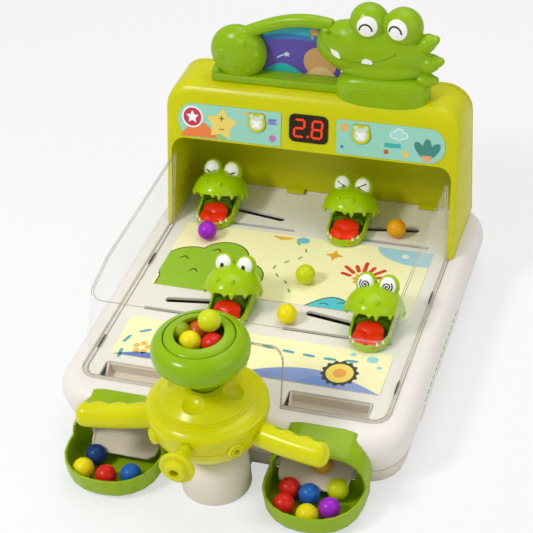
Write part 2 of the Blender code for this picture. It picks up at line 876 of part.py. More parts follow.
display_window = plate("display_window", [rounded_block(-window_half_width + seat_gap, window_half_width - seat_gap,
                                                        window_low + seat_gap, window_high - seat_gap,
                                                        window_radius)],
                       window_depth, on_face(0, 0, bezel_height - window_depth / 2), display_dark)
bezel = plate("bezel", [rounded_block(-window_half_width - bezel_width, window_half_width + bezel_width,
                                      window_low - bezel_width, window_high + bezel_width,
                                      window_radius + bezel_width)],
              bezel_height - seat_gap, on_face(0, 0, (bezel_height + seat_gap) / 2), None)
join(display_window, bezel)
board_out = -window_depth - board_thickness
display_board = plate("display_board", [rounded_block(-board_half_width, board_half_width, window_low - bezel_width,
                                                      window_high + bezel_width, wall)],
                      board_thickness, on_face(0, 0, board_out - display_depth / 2), board_green)
display_face = plate("display_face", [rounded_block(-window_half_width + wall, window_half_width - wall,
                                                    window_low + wall, window_high - wall, wall)],
                     display_depth - window_depth, on_face(0, 0, board_out - display_depth / 2 + wall / 2), None)
join(display_board, display_face)
post_x = 0.0225
post_radius = 0.0022
post_foot = board_out - display_depth / 2
post_head = -header_wall - seat_gap
for side in (-1, 1):
    post = cylinder("board_post", Vector(), post_radius, post_head - post_foot, sides=10,
                    placing=on_face(side * post_x, (window_low + window_high) / 2, (post_head + post_foot) / 2))
    join(display_board, post)

cover_low = arch_back_y + seat_gap
switch_x = 0.100
switch_z = 0.178
switch_slot_half_width = 0.0075
switch_slot_half_height = 0.0032
grille_x = -0.095
grille_low = 0.160
grille_high = 0.190
grille_pitch = 0.007
grille_slot_width = 0.003
cover_outlines = [rounded_block(-arch_half_width, arch_half_width, rim_height + seat_gap, arch_top,
                                [wall, wall, arch_corner_radius, arch_corner_radius], 6),
                  rounded_block(switch_x - switch_slot_half_width, switch_x + switch_slot_half_width,
                                switch_z - switch_slot_half_height, switch_z + switch_slot_half_height, wall / 5, 2)]
for place in range(-1, 2):
    slot_x = grille_x + place * grille_pitch
    cover_outlines.append(slot_outline((slot_x, grille_low), (slot_x, grille_high), grille_slot_width, 2))
arch_back = plate("arch_back", cover_outlines, rear_cover_thickness,
                  upright(cover_low + rear_cover_thickness / 2), lime_plastic)
for tab_x in back_tab_places:
    tab = box("back_tab", (tab_x - back_tab_half_width, cover_low - back_wall_foot * 2, rim_height + seat_gap),
              (tab_x + back_tab_half_width, cover_low + wall, rim_height + seat_gap + back_wall_foot))
    join(arch_back, tab)

switch_travel = 0.004
switch_half_width = 0.0034
switch_half_height = 0.0028
switch_reach = 0.0025
switch_flange = 0.0042
switch_flange_thickness = 0.0014
switch_rest_x = switch_x - switch_travel / 2
power_switch = box("power_switch", (switch_rest_x - switch_half_width, cover_low - seat_gap - switch_flange_thickness,
                                    switch_z - switch_half_height),
                   (switch_rest_x + switch_half_width, cover_low + rear_cover_thickness + switch_reach,
                    switch_z + switch_half_height), motor_grey)
join(power_switch, box("switch_flange", (switch_rest_x - switch_half_width - switch_flange,
                                         cover_low - seat_gap - switch_flange_thickness,
                                         switch_z - switch_half_height - switch_flange),
                       (switch_rest_x + switch_half_width + switch_flange, cover_low - seat_gap,
                        switch_z + switch_half_height + switch_flange)))

# Crest on the arch: strip and neck, tail with its bulb, head with eye mounds, and a backdrop

crest_low = arch_top + seat_gap
crest_base = plate("crest_base", [rounded_block(strip_left, neck_right, crest_low, crest_low + strip_height, wall)],
                   crest_half_depth * 2, upright(crest_y), leaf_plastic)
neck = plate("neck", [rounded_block(neck_left, neck_right, crest_low, crest_low + neck_height,
                                    [wall, wall, neck_radius, neck_radius], 5)],
             crest_half_depth * 2 + wall, upright(crest_y), None)
join(crest_base, neck)


def bulb(name, grow, material):
    size = (bulb_radius + grow, crest_half_depth + wall + grow, bulb_radius + grow)
    return ellipsoid(name, Vector((bulb_x, crest_y, bulb_z)), size, material, 12, 8)


def crest_skull(name, grow, material):
    """The side-on head: a long skull, a swollen snout and a row of scutes."""
    size = crest_head_size + Vector((grow, grow, grow))
    skull = ellipsoid(name, Vector((head_x, crest_y, head_z)), size, material, 14, 8)
    snout = ellipsoid("snout", Vector((snout_x, crest_y, snout_z)), snout_size + Vector((grow, grow, grow)), None, 10, 6)
    join(skull, snout)
    for scute_x, scute_z in scute_places:
        size = (scute_radius + grow, scute_radius + grow, scute_radius + grow)
        join(skull, ellipsoid("scute", Vector((scute_x, crest_y, scute_z)), size, None, 8, 6))
    return skull


cut(crest_base, bulb("bulb_seat", seat_gap * 2, None), crest_skull("skull_seat", seat_gap * 2, None))

crest_tail = bulb("crest_tail", 0.0, leaf_plastic)
band_steps = 7
band_left_x = bulb_x + bulb_radius * 0.3
band_left_z = bulb_z + bulb_radius * 0.75
band_route = []
for step in range(band_steps + 1):
    share = step / band_steps
    x = band_left_x + (band_right - band_left_x) * share
    z = band_left_z + band_rise * sin(pi * 0.62 * share) / sin(pi * 0.5)
    band_route.append((x, crest_y, z))
join(crest_tail, tube("tail_band", band_route, band_radius, None, 1))

crest_head = crest_skull("crest_head", 0.0, leaf_plastic)
for mound_x, mound_z in crest_eye_places:
    size = (crest_eye_radius, crest_eye_depth, crest_eye_radius)
    join(crest_head, ellipsoid("crest_eye", Vector((mound_x, crest_y, mound_z)), size, None, 10, 6))

panel_top_shares = [(1.0, 1.0), (0.62, 0.98), (0.30, 0.86), (0.0, 0.66)]
backdrop_left = -0.049
backdrop_right = 0.0055
backdrop_top = 0.277
backdrop_low = crest_low + strip_height + seat_gap
backdrop_y = crest_y + band_radius + backdrop_thickness
backdrop_corners = [(backdrop_left, backdrop_low), (backdrop_right, backdrop_low)]
for across, rise in panel_top_shares:
    backdrop_corners.append((backdrop_left + across * (backdrop_right - backdrop_left),
                             backdrop_low + rise * (backdrop_top - backdrop_low)))
crest_backdrop = plate("crest_backdrop", [filleted(backdrop_corners, wall / 2, 2)], backdrop_thickness,
                       upright(backdrop_y), print_violet)

# Clear guard: a drafted wall round three sides, lower and leaning back at the front

guard_low = rim_height + seat_gap
guard_side_steps = 6
guard_rise_end = -0.086


def guard_path(outset, share):
    """One row of the guard, from its left rear end round the front to its right rear end."""
    half = guard_half_width + outset - guard_draft * share
    lean = 0.0
    for (low_run, low_rise), (high_run, high_rise) in zip(guard_front_shares, guard_front_shares[1:]):
        if low_rise <= share <= high_rise:
            lean = low_run + (high_run - low_run) * (share - low_rise) / (high_rise - low_rise)
    front = guard_front_y - outset + lean * guard_front_run
    radius = max(guard_radius + outset, wall)
    arc = filleted([(-half, 0.0), (-half, front), (half, front), (half, 0.0)], [0, radius, radius, 0], 5)[1:-1]
    left_arc = [point for point in arc if point.x < 0]
    right_arc = [point for point in arc if point.x > 0]

    def height(y):
        rise = min(max((y - guard_front_y - guard_front_run) / (guard_rise_end - guard_front_y - guard_front_run), 0.0), 1.0)
        top = guard_front_height + (guard_height - guard_front_height) * sin(rise * pi / 2)
        return guard_low + top * share

    side_start = left_arc[0].y
    points = []
    rear = face_y(guard_low + guard_height * share) - seat_gap * 2
    for step in range(guard_side_steps):
        y = rear + (side_start - rear) * step / guard_side_steps
        points.append(Vector((-half, y, height(y))))
    points += [Vector((point.x, point.y, height(point.y))) for point in left_arc + right_arc]
    for step in range(guard_side_steps - 1, -1, -1):
        y = rear + (side_start - rear) * step / guard_side_steps
        points.append(Vector((half, y, height(y))))
    return points


def lowered(path, height):
    return [Vector((point.x, point.y, height)) for point in path]


flange_top = guard_low + guard_flange_thickness
guard_rows = [lowered(guard_path(guard_flange, 0.0), guard_low), lowered(guard_path(guard_flange, 0.0), flange_top),
              lowered(guard_path(0.0, 0.0), flange_top)]
guard_rows += [guard_path(0.0, rise) for run, rise in guard_front_shares[1:]]
guard_rows += [guard_path(-guard_wall, rise) for run, rise in reversed(guard_front_shares)]
clear_guard = loft("clear_guard", guard_rows, clear_plastic, ring_of_rows=True, open_rows=True)
muzzle_gap = plate("muzzle_gap", [rounded_block(-muzzle_gap_half_width, muzzle_gap_half_width,
                                                guard_low - muzzle_gap_height, guard_low + muzzle_gap_height,
                                                muzzle_gap_radius, 6)],
                   guard_front_run * 2, upright(guard_front_y + guard_front_run / 2), None)
cut(clear_guard, muzzle_gap)

# Shooter: pedestal, fixed feed tube, hopper

pedestal_top = collar_top - collar_thickness - seat_gap
pedestal_outer_shares = [(0.54, 1.0), (0.762, 0.90), (0.905, 0.81), (0.978, 0.754), (1.0, 0.675), (1.0, 0.024),
                         (0.978, 0.0)]
pedestal_inner_shares = [(0.908, 0.0), (0.908, 0.652), (0.70, 0.70), (0.514, 0.700), (0.514, 0.462)]
socket_radius = tube_radius + seat_gap
socket_low = tube_foot - seat_gap
pedestal_profile = [(0.0, socket_low), (socket_radius, socket_low), (socket_radius, pedestal_top)]
pedestal_profile += scaled(pedestal_outer_shares, pedestal_radius, 0.0, pedestal_top)
pedestal_profile += scaled(pedestal_inner_shares, pedestal_radius, 0.0, pedestal_top)
pedestal_profile += [(0.0, pedestal_inner_shares[-1][1] * pedestal_top)]
pedestal = turned("pedestal", pedestal_profile, shooter_centre, cream_plastic)
web = box("pedestal_web", (-pedestal_web_half_width, turret_y + pedestal_web_half_width, wall),
          (pedestal_web_half_width, -base_half_depth + base_corner_radius, pedestal_height))
join(pedestal, web)
cut(pedestal, base_envelope("pedestal_seat", seat_gap))

collar_low = collar_top - collar_thickness
tube_profile = [(0.0, tube_floor), (tube_bore, tube_floor), (tube_bore, tube_top), (tube_radius, tube_top),
                (tube_radius, collar_top), (collar_radius, collar_top), (collar_radius, collar_low),
                (tube_radius, collar_low), (tube_radius, tube_foot), (tube_bore, tube_foot),
                (tube_bore, tube_floor - plug_thickness), (0.0, tube_floor - plug_thickness)]
feed_tube = turned("feed_tube", tube_profile, shooter_centre, leaf_plastic, 16)
window = box("shot_window", (-shot_window, turret_y - tube_radius * 2, shot_window_low),
             (shot_window, turret_y + tube_radius * 2, shot_window_high))
cut(feed_tube, window)

hopper_outer_shares = [(0.758, 1.0), (0.900, 0.930), (0.985, 0.800), (1.0, 0.640), (0.960, 0.440),
                       (0.850, 0.240), (0.690, 0.100), (0.471, 0.0)]
hopper_inner_shares = [(0.529, 0.225), (0.790, 0.370), (0.895, 0.520), (0.940, 0.650), (0.920, 0.790),
                       (0.820, 0.875), (0.673, 0.885)]
seat_radius = hopper_ring_radius + seat_gap
hopper_profile = scaled(hopper_outer_shares, hopper_radius, hopper_low, hopper_rim)
hopper_profile += [(socket_radius, hopper_low), (socket_radius, tube_top + seat_gap), (tube_bore, tube_top + seat_gap),
                   (tube_bore, tube_top + wall)]
hopper_profile += scaled(hopper_inner_shares, hopper_radius, hopper_low, hopper_rim)
hopper_profile += [(ring_ledge_radius, ring_seat), (seat_radius, ring_seat), (seat_radius, hopper_rim)]
hopper_bowl = turned("hopper_bowl", hopper_profile, shooter_centre, hopper_plastic)
ring_shares = [(0.735, 1.0), (1.0, 0.48), (1.0, 0.0), (0.686, 0.0), (0.686, 0.82)]
hopper_ring = turned("hopper_ring", scaled(ring_shares, hopper_ring_radius, ring_seat + seat_gap, hopper_top),
                     shooter_centre, lime_plastic)

# Turret shells

turret_upper = turned("turret_upper", upper_path + offset_path(upper_path, wall, True)[::-1], shooter_centre,
                      turret_plastic, 20)
turret_lower = turned("turret_lower", lower_path + offset_path(lower_path, wall, False)[::-1], shooter_centre,
                      turret_plastic, 20)

shot_centre = Vector((0, turret_y, shot_height))
barrel_middle = shot_centre + Vector((0, barrel_start + barrel_length / 2, 0))
for shell in (turret_upper, turret_lower):
    cut(shell, cylinder("barrel_hole", barrel_middle, barrel_radius + seat_gap, barrel_length, axis="Y", sides=20))
rod_hole_radius = rod_radius + turret_clearance / 2
cut(turret_upper, cylinder("rod_hole", shot_centre - Vector((0, turret_radius, 0)), rod_hole_radius,
                           turret_radius, axis="Y", sides=16))

barrel_profile = [(barrel_radius, barrel_length / 2), (barrel_radius, -barrel_length / 2),
                  (barrel_bore, -barrel_length / 2), (barrel_bore, barrel_length / 2)]
barrel = turned("barrel", barrel_profile, barrel_middle, turret_plastic, 20, axis="Y")

# Handles: yellow grips with finger scallops, each backed by a green insert

handle_rows = 13
handle_points = 10
scallop_depth = 0.0016
insert_offset = 0.0035
handle_tip_share = 0.10


def handle_solid(name, side, material):
    rows = []
    for step in range(handle_rows):
        share = step / (handle_rows - 1)
        x = side * (handle_root + (handle_reach - handle_root) * share)
        y = turret_y - handle_sweep * 0.55 - handle_sweep * share * (1.4 - 0.5 * share)
        near_tip = max(0.0, (share - 1 + handle_tip_share) / handle_tip_share)
        round_off = sqrt(max(1 - near_tip * near_tip, 0.06))
        ripple = scallop_depth * (1 - cos(2 * pi * grip_scallops * share)) / 2
        row = []
        for point in range(handle_points):
            angle = 2 * pi * point / handle_points
            reach = handle_radius * round_off
            across = cos(angle) * (reach - (ripple if cos(angle) > 0 else 0.0))
            row.append(Vector((x, y + across, handle_height + sin(angle) * reach)))
        rows.append(row)
    return loft(name, rows, material)


def handle_split(name, side, front, material):
    """A handle's front or rear part, parted along a plane that follows its sweep."""
    solid = handle_solid(name, side, material)
    root_y = turret_y - handle_sweep * 0.55 + insert_offset
    tip_y = root_y - handle_sweep * 0.9
    shift = -seat_gap / 2 if not front else seat_gap / 2
    near = handle_root * 0.5
    far = handle_reach * 1.1
    depth = handle_radius * 3
    low = handle_height - depth
    high = handle_height + depth
    across = depth if front else -depth
    corners = [(side * near, root_y + shift * -1), (side * far, tip_y + shift * -1),
               (side * far, tip_y + shift * -1 + across), (side * near, root_y + shift * -1 + across)]
    cutter = loft(name + "_parting", [level(corners, low), level(corners, high)], None)
    return cut(solid, cutter)


grips = []
for side, word in ((-1, "left"), (1, "right")):
    for part_word, front, material in (("handle", True, turret_plastic), ("grip_insert", False, leaf_plastic)):
        piece = handle_split(word + "_" + part_word, side, front, material)
        cut(piece, turret_envelope("handle_seat", seat_gap))
        grips.append(piece)

# Plunger with its knob, and its spring

knob_front = rod_front + knob_thickness
boss_front = knob_front + knob_boss_length


def along_shot(distance, length):
    """Centre of a piece of the plunger that starts at a distance in front of the turret's axis."""
    return shot_centre - Vector((0, distance + length / 2, 0))


striker_back = striker_y + striker_thickness
plunger = cylinder("plunger", along_shot(striker_back - wall, rod_front - striker_back + wall * 2), rod_radius,
                   rod_front - striker_back + wall * 2, steel, axis="Y", sides=16)
knob = cylinder("knob", along_shot(rod_front, knob_thickness), knob_radius, knob_thickness, axis="Y", sides=28)
boss = cylinder("knob_boss", along_shot(knob_front - wall / 2, knob_boss_length + wall / 2), knob_boss_radius * 0.72,
                knob_boss_length + wall / 2, axis="Y", sides=20, end_radius=knob_boss_radius)
striker = cylinder("striker", along_shot(striker_y, striker_thickness), striker_radius, striker_thickness,
                   axis="Y", sides=20)
nose = cylinder("nose", along_shot(striker_y - nose_length, nose_length + wall), nose_radius, nose_length + wall,
                axis="Y", sides=12)
join(plunger, knob, boss, striker, nose)
hole = cylinder("knob_hole", along_shot(boss_front - knob_boss_radius * 0.6, knob_boss_radius), knob_hole_radius,
                knob_boss_radius, axis="Y", sides=14)
cut(plunger, hole)

spring_start = striker_back + spring_end_gap + spring_wire_radius
spring_end = turret_radius - wall * 2 - spring_wire_radius
spring_points = 8
spring_route = []
for step in range(spring_turns * spring_points + 1):
    share = step / (spring_turns * spring_points)
    angle = 2 * pi * step / spring_points
    spring_route.append(shot_centre + Vector((spring_radius * cos(angle), -spring_start - (spring_end - spring_start) * share,
                                              spring_radius * sin(angle))))
plunger_spring = tube("plunger_spring", spring_route, spring_wire_radius, steel, 1)
hang_on("turret_axis", shooter_centre, [turret_upper, turret_lower, barrel, plunger, plunger_spring] + grips)

# Ball pockets with their arched hoods, and the chutes that feed them


def pocket_outline(centre, inset):
    across = pocket_half_width - inset
    front = pocket_radius - inset
    back = pocket_back_radius
    return rounded_block(centre - across, centre + across, pocket_front + inset, pocket_back - min(inset, wall),
                         [front, front, back, back], 5)


def hood_row(centre, y, top):
    """An upside-down U: outer side over the arch, then back along the inner side."""
    rows = []
    for inset in (0.0, hood_wall):
        half = pocket_half_width - wall * 0.6 - inset
        radius = hood_radius - inset
        loop = rounded_block(centre - half, centre + half, pocket_rim - wall * 1.5, top - inset, [0, 0, radius, radius], 4)
        rows.append([Vector((x, y, z)) for x, z in loop[1:] + loop[:1]])
    return rows[0] + rows[1][::-1]


def make_pocket(name, centre):
    span = pocket_rim - pocket_low
    rows = [level(pocket_outline(centre, share * pocket_taper), pocket_low + rise * span)
            for share, rise in pocket_foot_shares]
    rows += [level(pocket_outline(centre, wall + share * pocket_taper), max(pocket_low + rise * span, pocket_low + wall))
             for share, rise in reversed(pocket_foot_shares[1:])]
    pocket = loft(name, rows, leaf_plastic)
    hood = loft("hood", [hood_row(centre, hood_back, hood_top_back), hood_row(centre, hood_front, hood_top_front)], None)
    join(pocket, hood)
    sill_x = pocket_sill_x if centre > 0 else -pocket_sill_x
    sill = box("sill_cutter", (sill_x - pocket_sill_half_width, pocket_back - hood_wall * 2, pocket_sill),
               (sill_x + pocket_sill_half_width, pocket_back + cut_overrun, pocket_rim + wall))
    return cut(pocket, sill, base_envelope("pocket_seat", seat_gap))


left_pocket = make_pocket("left_pocket", -pocket_x)
right_pocket = make_pocket("right_pocket", pocket_x)

chute_back = -0.1335
chute_front = -0.2085
chute_high = 0.0425
chute_low = 0.0150
chute_floor = 0.002
chute_wall_height = 0.010
chute_back_half = 0.0385
chute_front_half = 0.0315
chute_front_x = 0.0885


def chute_row(side, y, x, half, height, wall_height):
    low = height - chute_floor
    top = height + wall_height
    corners = [(x - half, low), (x + half, low), (x + half, top), (x + half - chute_floor, top),
               (x + half - chute_floor, height), (x - half + chute_floor, height),
               (x - half + chute_floor, top), (x - half, top)]
    return [Vector((across, y, up)) for across, up in corners]


rest_half_width = 0.030
rest_front = -0.1805
rest_back = -0.1785
rest_height = 0.006
for name, side in (("left_chute", -1), ("right_chute", 1)):
    chute = loft(name, [chute_row(side, chute_back, side * trough_centre_x, chute_back_half, chute_high, chute_wall_height),
                chute_row(side, chute_front, side * chute_front_x, chute_front_half, chute_low, chute_wall_height * 0.6)],
                 white_plastic)
    rest = box("chute_rest", (side * trough_centre_x - rest_half_width, rest_front, mouth_low + seat_gap),
               (side * trough_centre_x + rest_half_width, rest_back, mouth_low + rest_height))
    join(chute, rest)

# Crocodile targets. Each is drawn about the point where its slot line crosses its middle

jaw_low = mat_top + deck_slide_gap - deck_top
jaw_rim_shares = [(0.0, 0.0), (0.36, 0.06), (0.62, 0.46), (0.80, 0.96), (0.86, 1.0), (0.92, 0.84), (1.0, 0.42)]


def jaw_rim(y):
    """Height of the jaw's rim: low in front, a shoulder at the hinge, lower at the back."""
    share = min(max((y - jaw_front) / (jaw_back - jaw_front), 0.0), 1.0)
    rise = 0.0
    for (low_y, low_z), (high_y, high_z) in zip(jaw_rim_shares, jaw_rim_shares[1:]):
        if low_y <= share <= high_y:
            rise = low_z + (high_z - low_z) * (share - low_y) / (high_y - low_y)
    return jaw_front_height + rise * (jaw_hinge_height - jaw_front_height)


def jaw_outline(inset):
    across = jaw_half_width - inset
    front = jaw_front + inset
    back = jaw_back - inset
    nose_turn = across * 0.999
    loop = rounded_block(-across, across, front, back, [nose_turn, nose_turn, jaw_corner - inset, jaw_corner - inset], 3)
    points = []
    for place, point in enumerate(loop):
        after = loop[(place + 1) % len(loop)]
        points.append(point)
        if abs(after.y - point.y) > jaw_corner * 1.2 and abs(after.x - point.x) < seat_gap:
            points += [point.lerp(after, step / 3) for step in range(1, 3)]
    return points


def jaw_rows():
    low = jaw_low
    inner_floor = jaw_low + jaw_floor
    rows = [level(jaw_outline(wall), low), level(jaw_outline(wall / 4), low + wall / 2),
            level(jaw_outline(0.0), low + jaw_floor)]
    outer = jaw_outline(0.0)
    inner = jaw_outline(jaw_wall)
    rows.append([Vector((point.x, point.y, jaw_rim(point.y))) for point in outer])
    rows.append([Vector((point.x, point.y, jaw_rim(point.y))) for point in inner])
    rows.append(level(jaw_outline(jaw_wall + wall / 4), inner_floor + wall / 2))
    rows.append(level(jaw_outline(jaw_wall + wall), inner_floor))
    return rows


inner_floor = jaw_low + jaw_floor
tongue_low = inner_floor + seat_gap


def make_jaw():
    jaw = loft("jaw_pattern", jaw_rows(), leaf_plastic)
    foot_low = -foot_depth
    foot = box("foot", (-foot_half_length, -foot_thickness / 2, foot_low),
               (foot_half_length, foot_thickness / 2, inner_floor - wall / 2))
    pins = cylinder("hinge_pins", Vector((0, hinge_y, hinge_z)), hinge_pin_radius, hinge_pin_reach * 2, axis="X", sides=8)
    gap_half = jaw_half_width - jaw_wall
    pin_gap = box("pin_gap", (-gap_half, hinge_y - jaw_wall * 2, inner_floor + jaw_wall),
                  (gap_half, hinge_y + jaw_wall * 1.6, jaw_hinge_height * 1.5))
    slot = plate("jaw_slot", [slot_outline((0, cam_offset_low), (0, cam_offset_low + cam_travel),
                                           jaw_slot_half_width * 2, 4)], jaw_corner, flat(jaw_low), None)
    join(jaw, foot, pins)
    cut(jaw, pin_gap, slot)
    return jaw


def make_head():
    """Upper head about its hinge: a domed shell with eye mounds and pivot ears."""
    middle = Vector((0, head_centre_y, 0))
    head = ellipsoid("head_pattern", middle, (head_half_width, head_half_length, head_height), leaf_plastic, 14, 8)
    for side in (-1, 1):
        join(head, ellipsoid("eye_mound", Vector((side * eye_spacing, eye_y, eye_z)),
                             (eye_half_width, eye_half_depth, eye_half_height), None, 8, 6))
    inner = ellipsoid("head_hollow", middle, (head_half_width - head_wall, head_half_length - head_wall,
                                              head_height - head_wall), None, 10, 6)
    below = box("head_below", (-head_half_width * 2, -head_half_length * 2, -head_height * 2),
                (head_half_width * 2, head_half_length * 2, head_wall / 4))
    cut(head, inner, below)
    for side in (-1, 1):
        ear_x = side * (ear_inner_x + ear_outer_x) / 2
        ear = cylinder("ear", Vector((ear_x, 0, 0)), ear_radius, ear_outer_x - ear_inner_x, axis="X", sides=10)
        join(head, ear)
    cut(head, cylinder("pin_hole", Vector(), hinge_pin_radius + pin_clearance, head_half_width * 3, axis="X", sides=8))
    return head


def settled(pattern):
    """The finished mesh of a pattern piece, and the pattern removed."""
    bpy.context.view_layer.update()
    evaluated = pattern.evaluated_get(bpy.context.evaluated_depsgraph_get())
    mesh = bpy.data.meshes.new_from_object(evaluated)
    bpy.data.objects.remove(pattern, do_unlink=True)
    return mesh


jaw_mesh = settled(make_jaw())
head_mesh = settled(make_head())
croc_places = [("croc_a", -row_outer_x, rear_slot_y, cam_high), ("croc_c", row_inner_x, rear_slot_y, cam_offset_low),
               ("croc_b", -row_inner_x, front_slot_y, cam_high), ("croc_d", row_outer_x, front_slot_y, cam_offset_low)]
tongue_corners = [(-0.60, 1.0), (-1.0, 0.30), (-0.80, -0.78), (-0.30, -1.0), (0.0, -0.70), (0.30, -1.0),
                  (0.80, -0.78), (1.0, 0.30), (0.60, 1.0)]
tongue_middle = (tongue_front + tongue_back) / 2
tongue_half_length = (tongue_back - tongue_front) / 2
for name, x, slot_y, cam_y in croc_places:
    spot = Vector((x, slot_y, deck_top))
    jaw = keep(bpy.data.objects.new(name + "_jaw", jaw_mesh.copy()), None)
    jaw.location = spot
    head = keep(bpy.data.objects.new(name + "_head", head_mesh.copy()), None)
    head.location = spot + Vector((0, hinge_y, hinge_z))
    head.rotation_euler = (-head_open_angle, 0, 0)
    outline = filleted([(across * tongue_half_width, tongue_middle + along * tongue_half_length)
                        for across, along in tongue_corners], tongue_half_width / 4, 1)
    placing = Matrix.Translation(spot + Vector((0, 0, tongue_low + tongue_thickness / 2)))
    plate(name + "_tongue", [outline], tongue_thickness, placing, tongue_plastic)
    plate_low = Vector((-follower_half_width, cam_y - follower_half_length, tongue_low))
    plate_high = Vector((follower_half_width, cam_y + follower_half_length, tongue_low + follower_thickness))
    follower = box(name + "_follower", spot + plate_low, spot + plate_high, bar_nylon)
    pin_length = tongue_low + follower_thickness / 2 + follower_pin_drop
    pin = cylinder("follower_pin", spot + Vector((0, cam_y, pin_length / 2 - follower_pin_drop)), follower_pin_radius,
                   pin_length, sides=14)
    join(follower, pin)

# Drive bars under the rows, and the motor that would crank them

bar_top = deck_top - foot_depth - seat_gap
bar_reach_out = row_outer_x + foot_half_length + bar_overhang
bar_reach_in = row_inner_x + foot_half_length + bar_overhang
rear_drive_bar = box("rear_drive_bar", (-bar_reach_out, rear_slot_y - bar_half_width, bar_top - bar_thickness),
                     (bar_reach_in, rear_slot_y + bar_half_width, bar_top), bar_nylon)
front_drive_bar = box("front_drive_bar", (-bar_reach_in, front_slot_y - bar_half_width, bar_top - bar_thickness),
                      (bar_reach_out, front_slot_y + bar_half_width, bar_top), bar_nylon)

motor_y = 0.024
motor_half_width = 0.026
motor_half_depth = 0.018
motor_top = 0.030
crank_radius = 0.018
crank_thickness = 0.003
crank_rise = 0.007
crank_shaft_radius = 0.003
drive_motor = box("drive_motor", (-motor_half_width, motor_y - motor_half_depth, tray_wall + seat_gap),
                  (motor_half_width, motor_y + motor_half_depth, motor_top), motor_grey)
shaft = cylinder("crank_shaft", Vector((0, motor_y, motor_top + crank_rise / 2)), crank_shaft_radius, crank_rise * 2, sides=12)
crank = cylinder("crank_disc", Vector((0, motor_y, motor_top + crank_rise)), crank_radius, crank_thickness, sides=24)
join(drive_motor, shaft, crank)

# A few of the loose balls: two on the field, one in the hopper's mouth and one in a pocket

field_ball_z = mat_top + seat_gap + ball_radius
ball_size = (ball_radius, ball_radius, ball_radius)
purple_place, lime_place = field_ball_places
ellipsoid("field_ball_purple", Vector((*purple_place, field_ball_z)), ball_size, ball_purple, 10, 7)
ellipsoid("field_ball_lime", Vector((*lime_place, field_ball_z)), ball_size, ball_lime, 10, 7)
ellipsoid("hopper_ball", Vector((hopper_ball_offset[0], turret_y + hopper_ball_offset[1], hopper_ball_height)),
          ball_size, ball_lime, 10, 7)
pocket_ball_z = pocket_low + wall + seat_gap + ball_radius
ellipsoid("pocket_ball", Vector((*pocket_ball_place, pocket_ball_z)), ball_size, ball_purple, 10, 7)
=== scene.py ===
import json
from math import atan, atan2, cos, pi, radians, sin, sqrt

import bmesh
import bpy
from mathutils import Matrix, Vector, geometry
from mathutils.bvhtree import BVHTree


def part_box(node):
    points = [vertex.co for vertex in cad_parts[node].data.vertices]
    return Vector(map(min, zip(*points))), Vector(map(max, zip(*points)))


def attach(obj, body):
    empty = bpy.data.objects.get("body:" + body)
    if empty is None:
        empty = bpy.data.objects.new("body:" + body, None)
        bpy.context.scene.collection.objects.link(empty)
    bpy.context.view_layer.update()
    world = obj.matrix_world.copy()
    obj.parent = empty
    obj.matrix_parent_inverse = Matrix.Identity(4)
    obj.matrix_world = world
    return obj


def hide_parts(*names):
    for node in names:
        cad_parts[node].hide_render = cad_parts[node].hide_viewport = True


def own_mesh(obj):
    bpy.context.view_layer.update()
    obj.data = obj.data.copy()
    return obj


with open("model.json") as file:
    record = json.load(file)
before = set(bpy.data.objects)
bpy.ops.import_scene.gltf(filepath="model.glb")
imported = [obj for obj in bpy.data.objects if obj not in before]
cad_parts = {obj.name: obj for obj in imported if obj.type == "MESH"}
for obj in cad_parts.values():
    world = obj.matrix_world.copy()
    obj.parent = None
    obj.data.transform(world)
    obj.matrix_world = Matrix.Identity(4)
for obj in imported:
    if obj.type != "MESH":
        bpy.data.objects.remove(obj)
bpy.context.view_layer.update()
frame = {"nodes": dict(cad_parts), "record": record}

nodes = frame["nodes"]
scene = bpy.context.scene

# Camera. It looks down at the game from the player's right, over the shooter, with a long lens.

camera_place = Vector((0.4188, -1.1357, 1.0044))
camera_right = Vector((0.949792, 0.305039, -0.069616))
camera_up = Vector((-0.132018, 0.592435, 0.794728))
camera_back = Vector((0.283666, -0.745635, 0.602961))
sensor_width = 36.0
lens_length = 106.79


def faced(place, across, up, out):
    """A placing at a spot, with its own three directions."""
    return Matrix.Translation(place) @ Matrix((across, up, out)).transposed().to_4x4()


camera_data = bpy.data.cameras.new("camera")
camera_data.sensor_width = sensor_width
camera_data.lens = lens_length
camera = bpy.data.objects.new("camera", camera_data)
camera.matrix_world = faced(camera_place, camera_right, camera_up, camera_back)
scene.collection.objects.link(camera)
scene.camera = camera
scene.view_settings.view_transform = "Standard"

# Lights. Three large soft boxes, the strongest over the player's left shoulder, and an even room.

soft_boxes = {
    "key_box": ((-0.95, -1.05, 1.55), 0.42, 17.5),
    "top_box": ((0.1, 0.5, 1.7), 1.2, 10.0),
    "fill_box": ((1.5, -0.6, 0.9), 1.0, 4.5),
}
aim = Vector((0.0, 0.0, 0.08))
for box_name, (place, size, power) in soft_boxes.items():
    lamp = bpy.data.lights.new(box_name, "AREA")
    lamp.size = size
    lamp.energy = power
    holder = bpy.data.objects.new(box_name, lamp)
    holder.location = place
    holder.rotation_euler = (aim - Vector(place)).to_track_quat("-Z", "Y").to_euler()
    scene.collection.objects.link(holder)


def put(tree, kind, inputs=(), **settings):
    """Add a node, a shader's unless its kind says more, set its options, and set or link its inputs."""
    node = tree.nodes.new(kind if "Node" in kind else "ShaderNode" + kind)
    for option, value in settings.items():
        setattr(node, option, value)
    for socket, value in dict(inputs).items():
        if isinstance(value, bpy.types.NodeSocket):
            tree.links.new(value, node.inputs[socket])
        else:
            node.inputs[socket].default_value = value
    return node


def looked_at(tree):
    """1 for what the camera sees, also through the guard, and 0 for what only light reaches."""
    rays = put(tree, "LightPath").outputs
    return put(tree, "Math", {0: rays["Is Camera Ray"], 1: rays["Is Transmission Ray"]},
               operation="MAXIMUM").outputs[0]


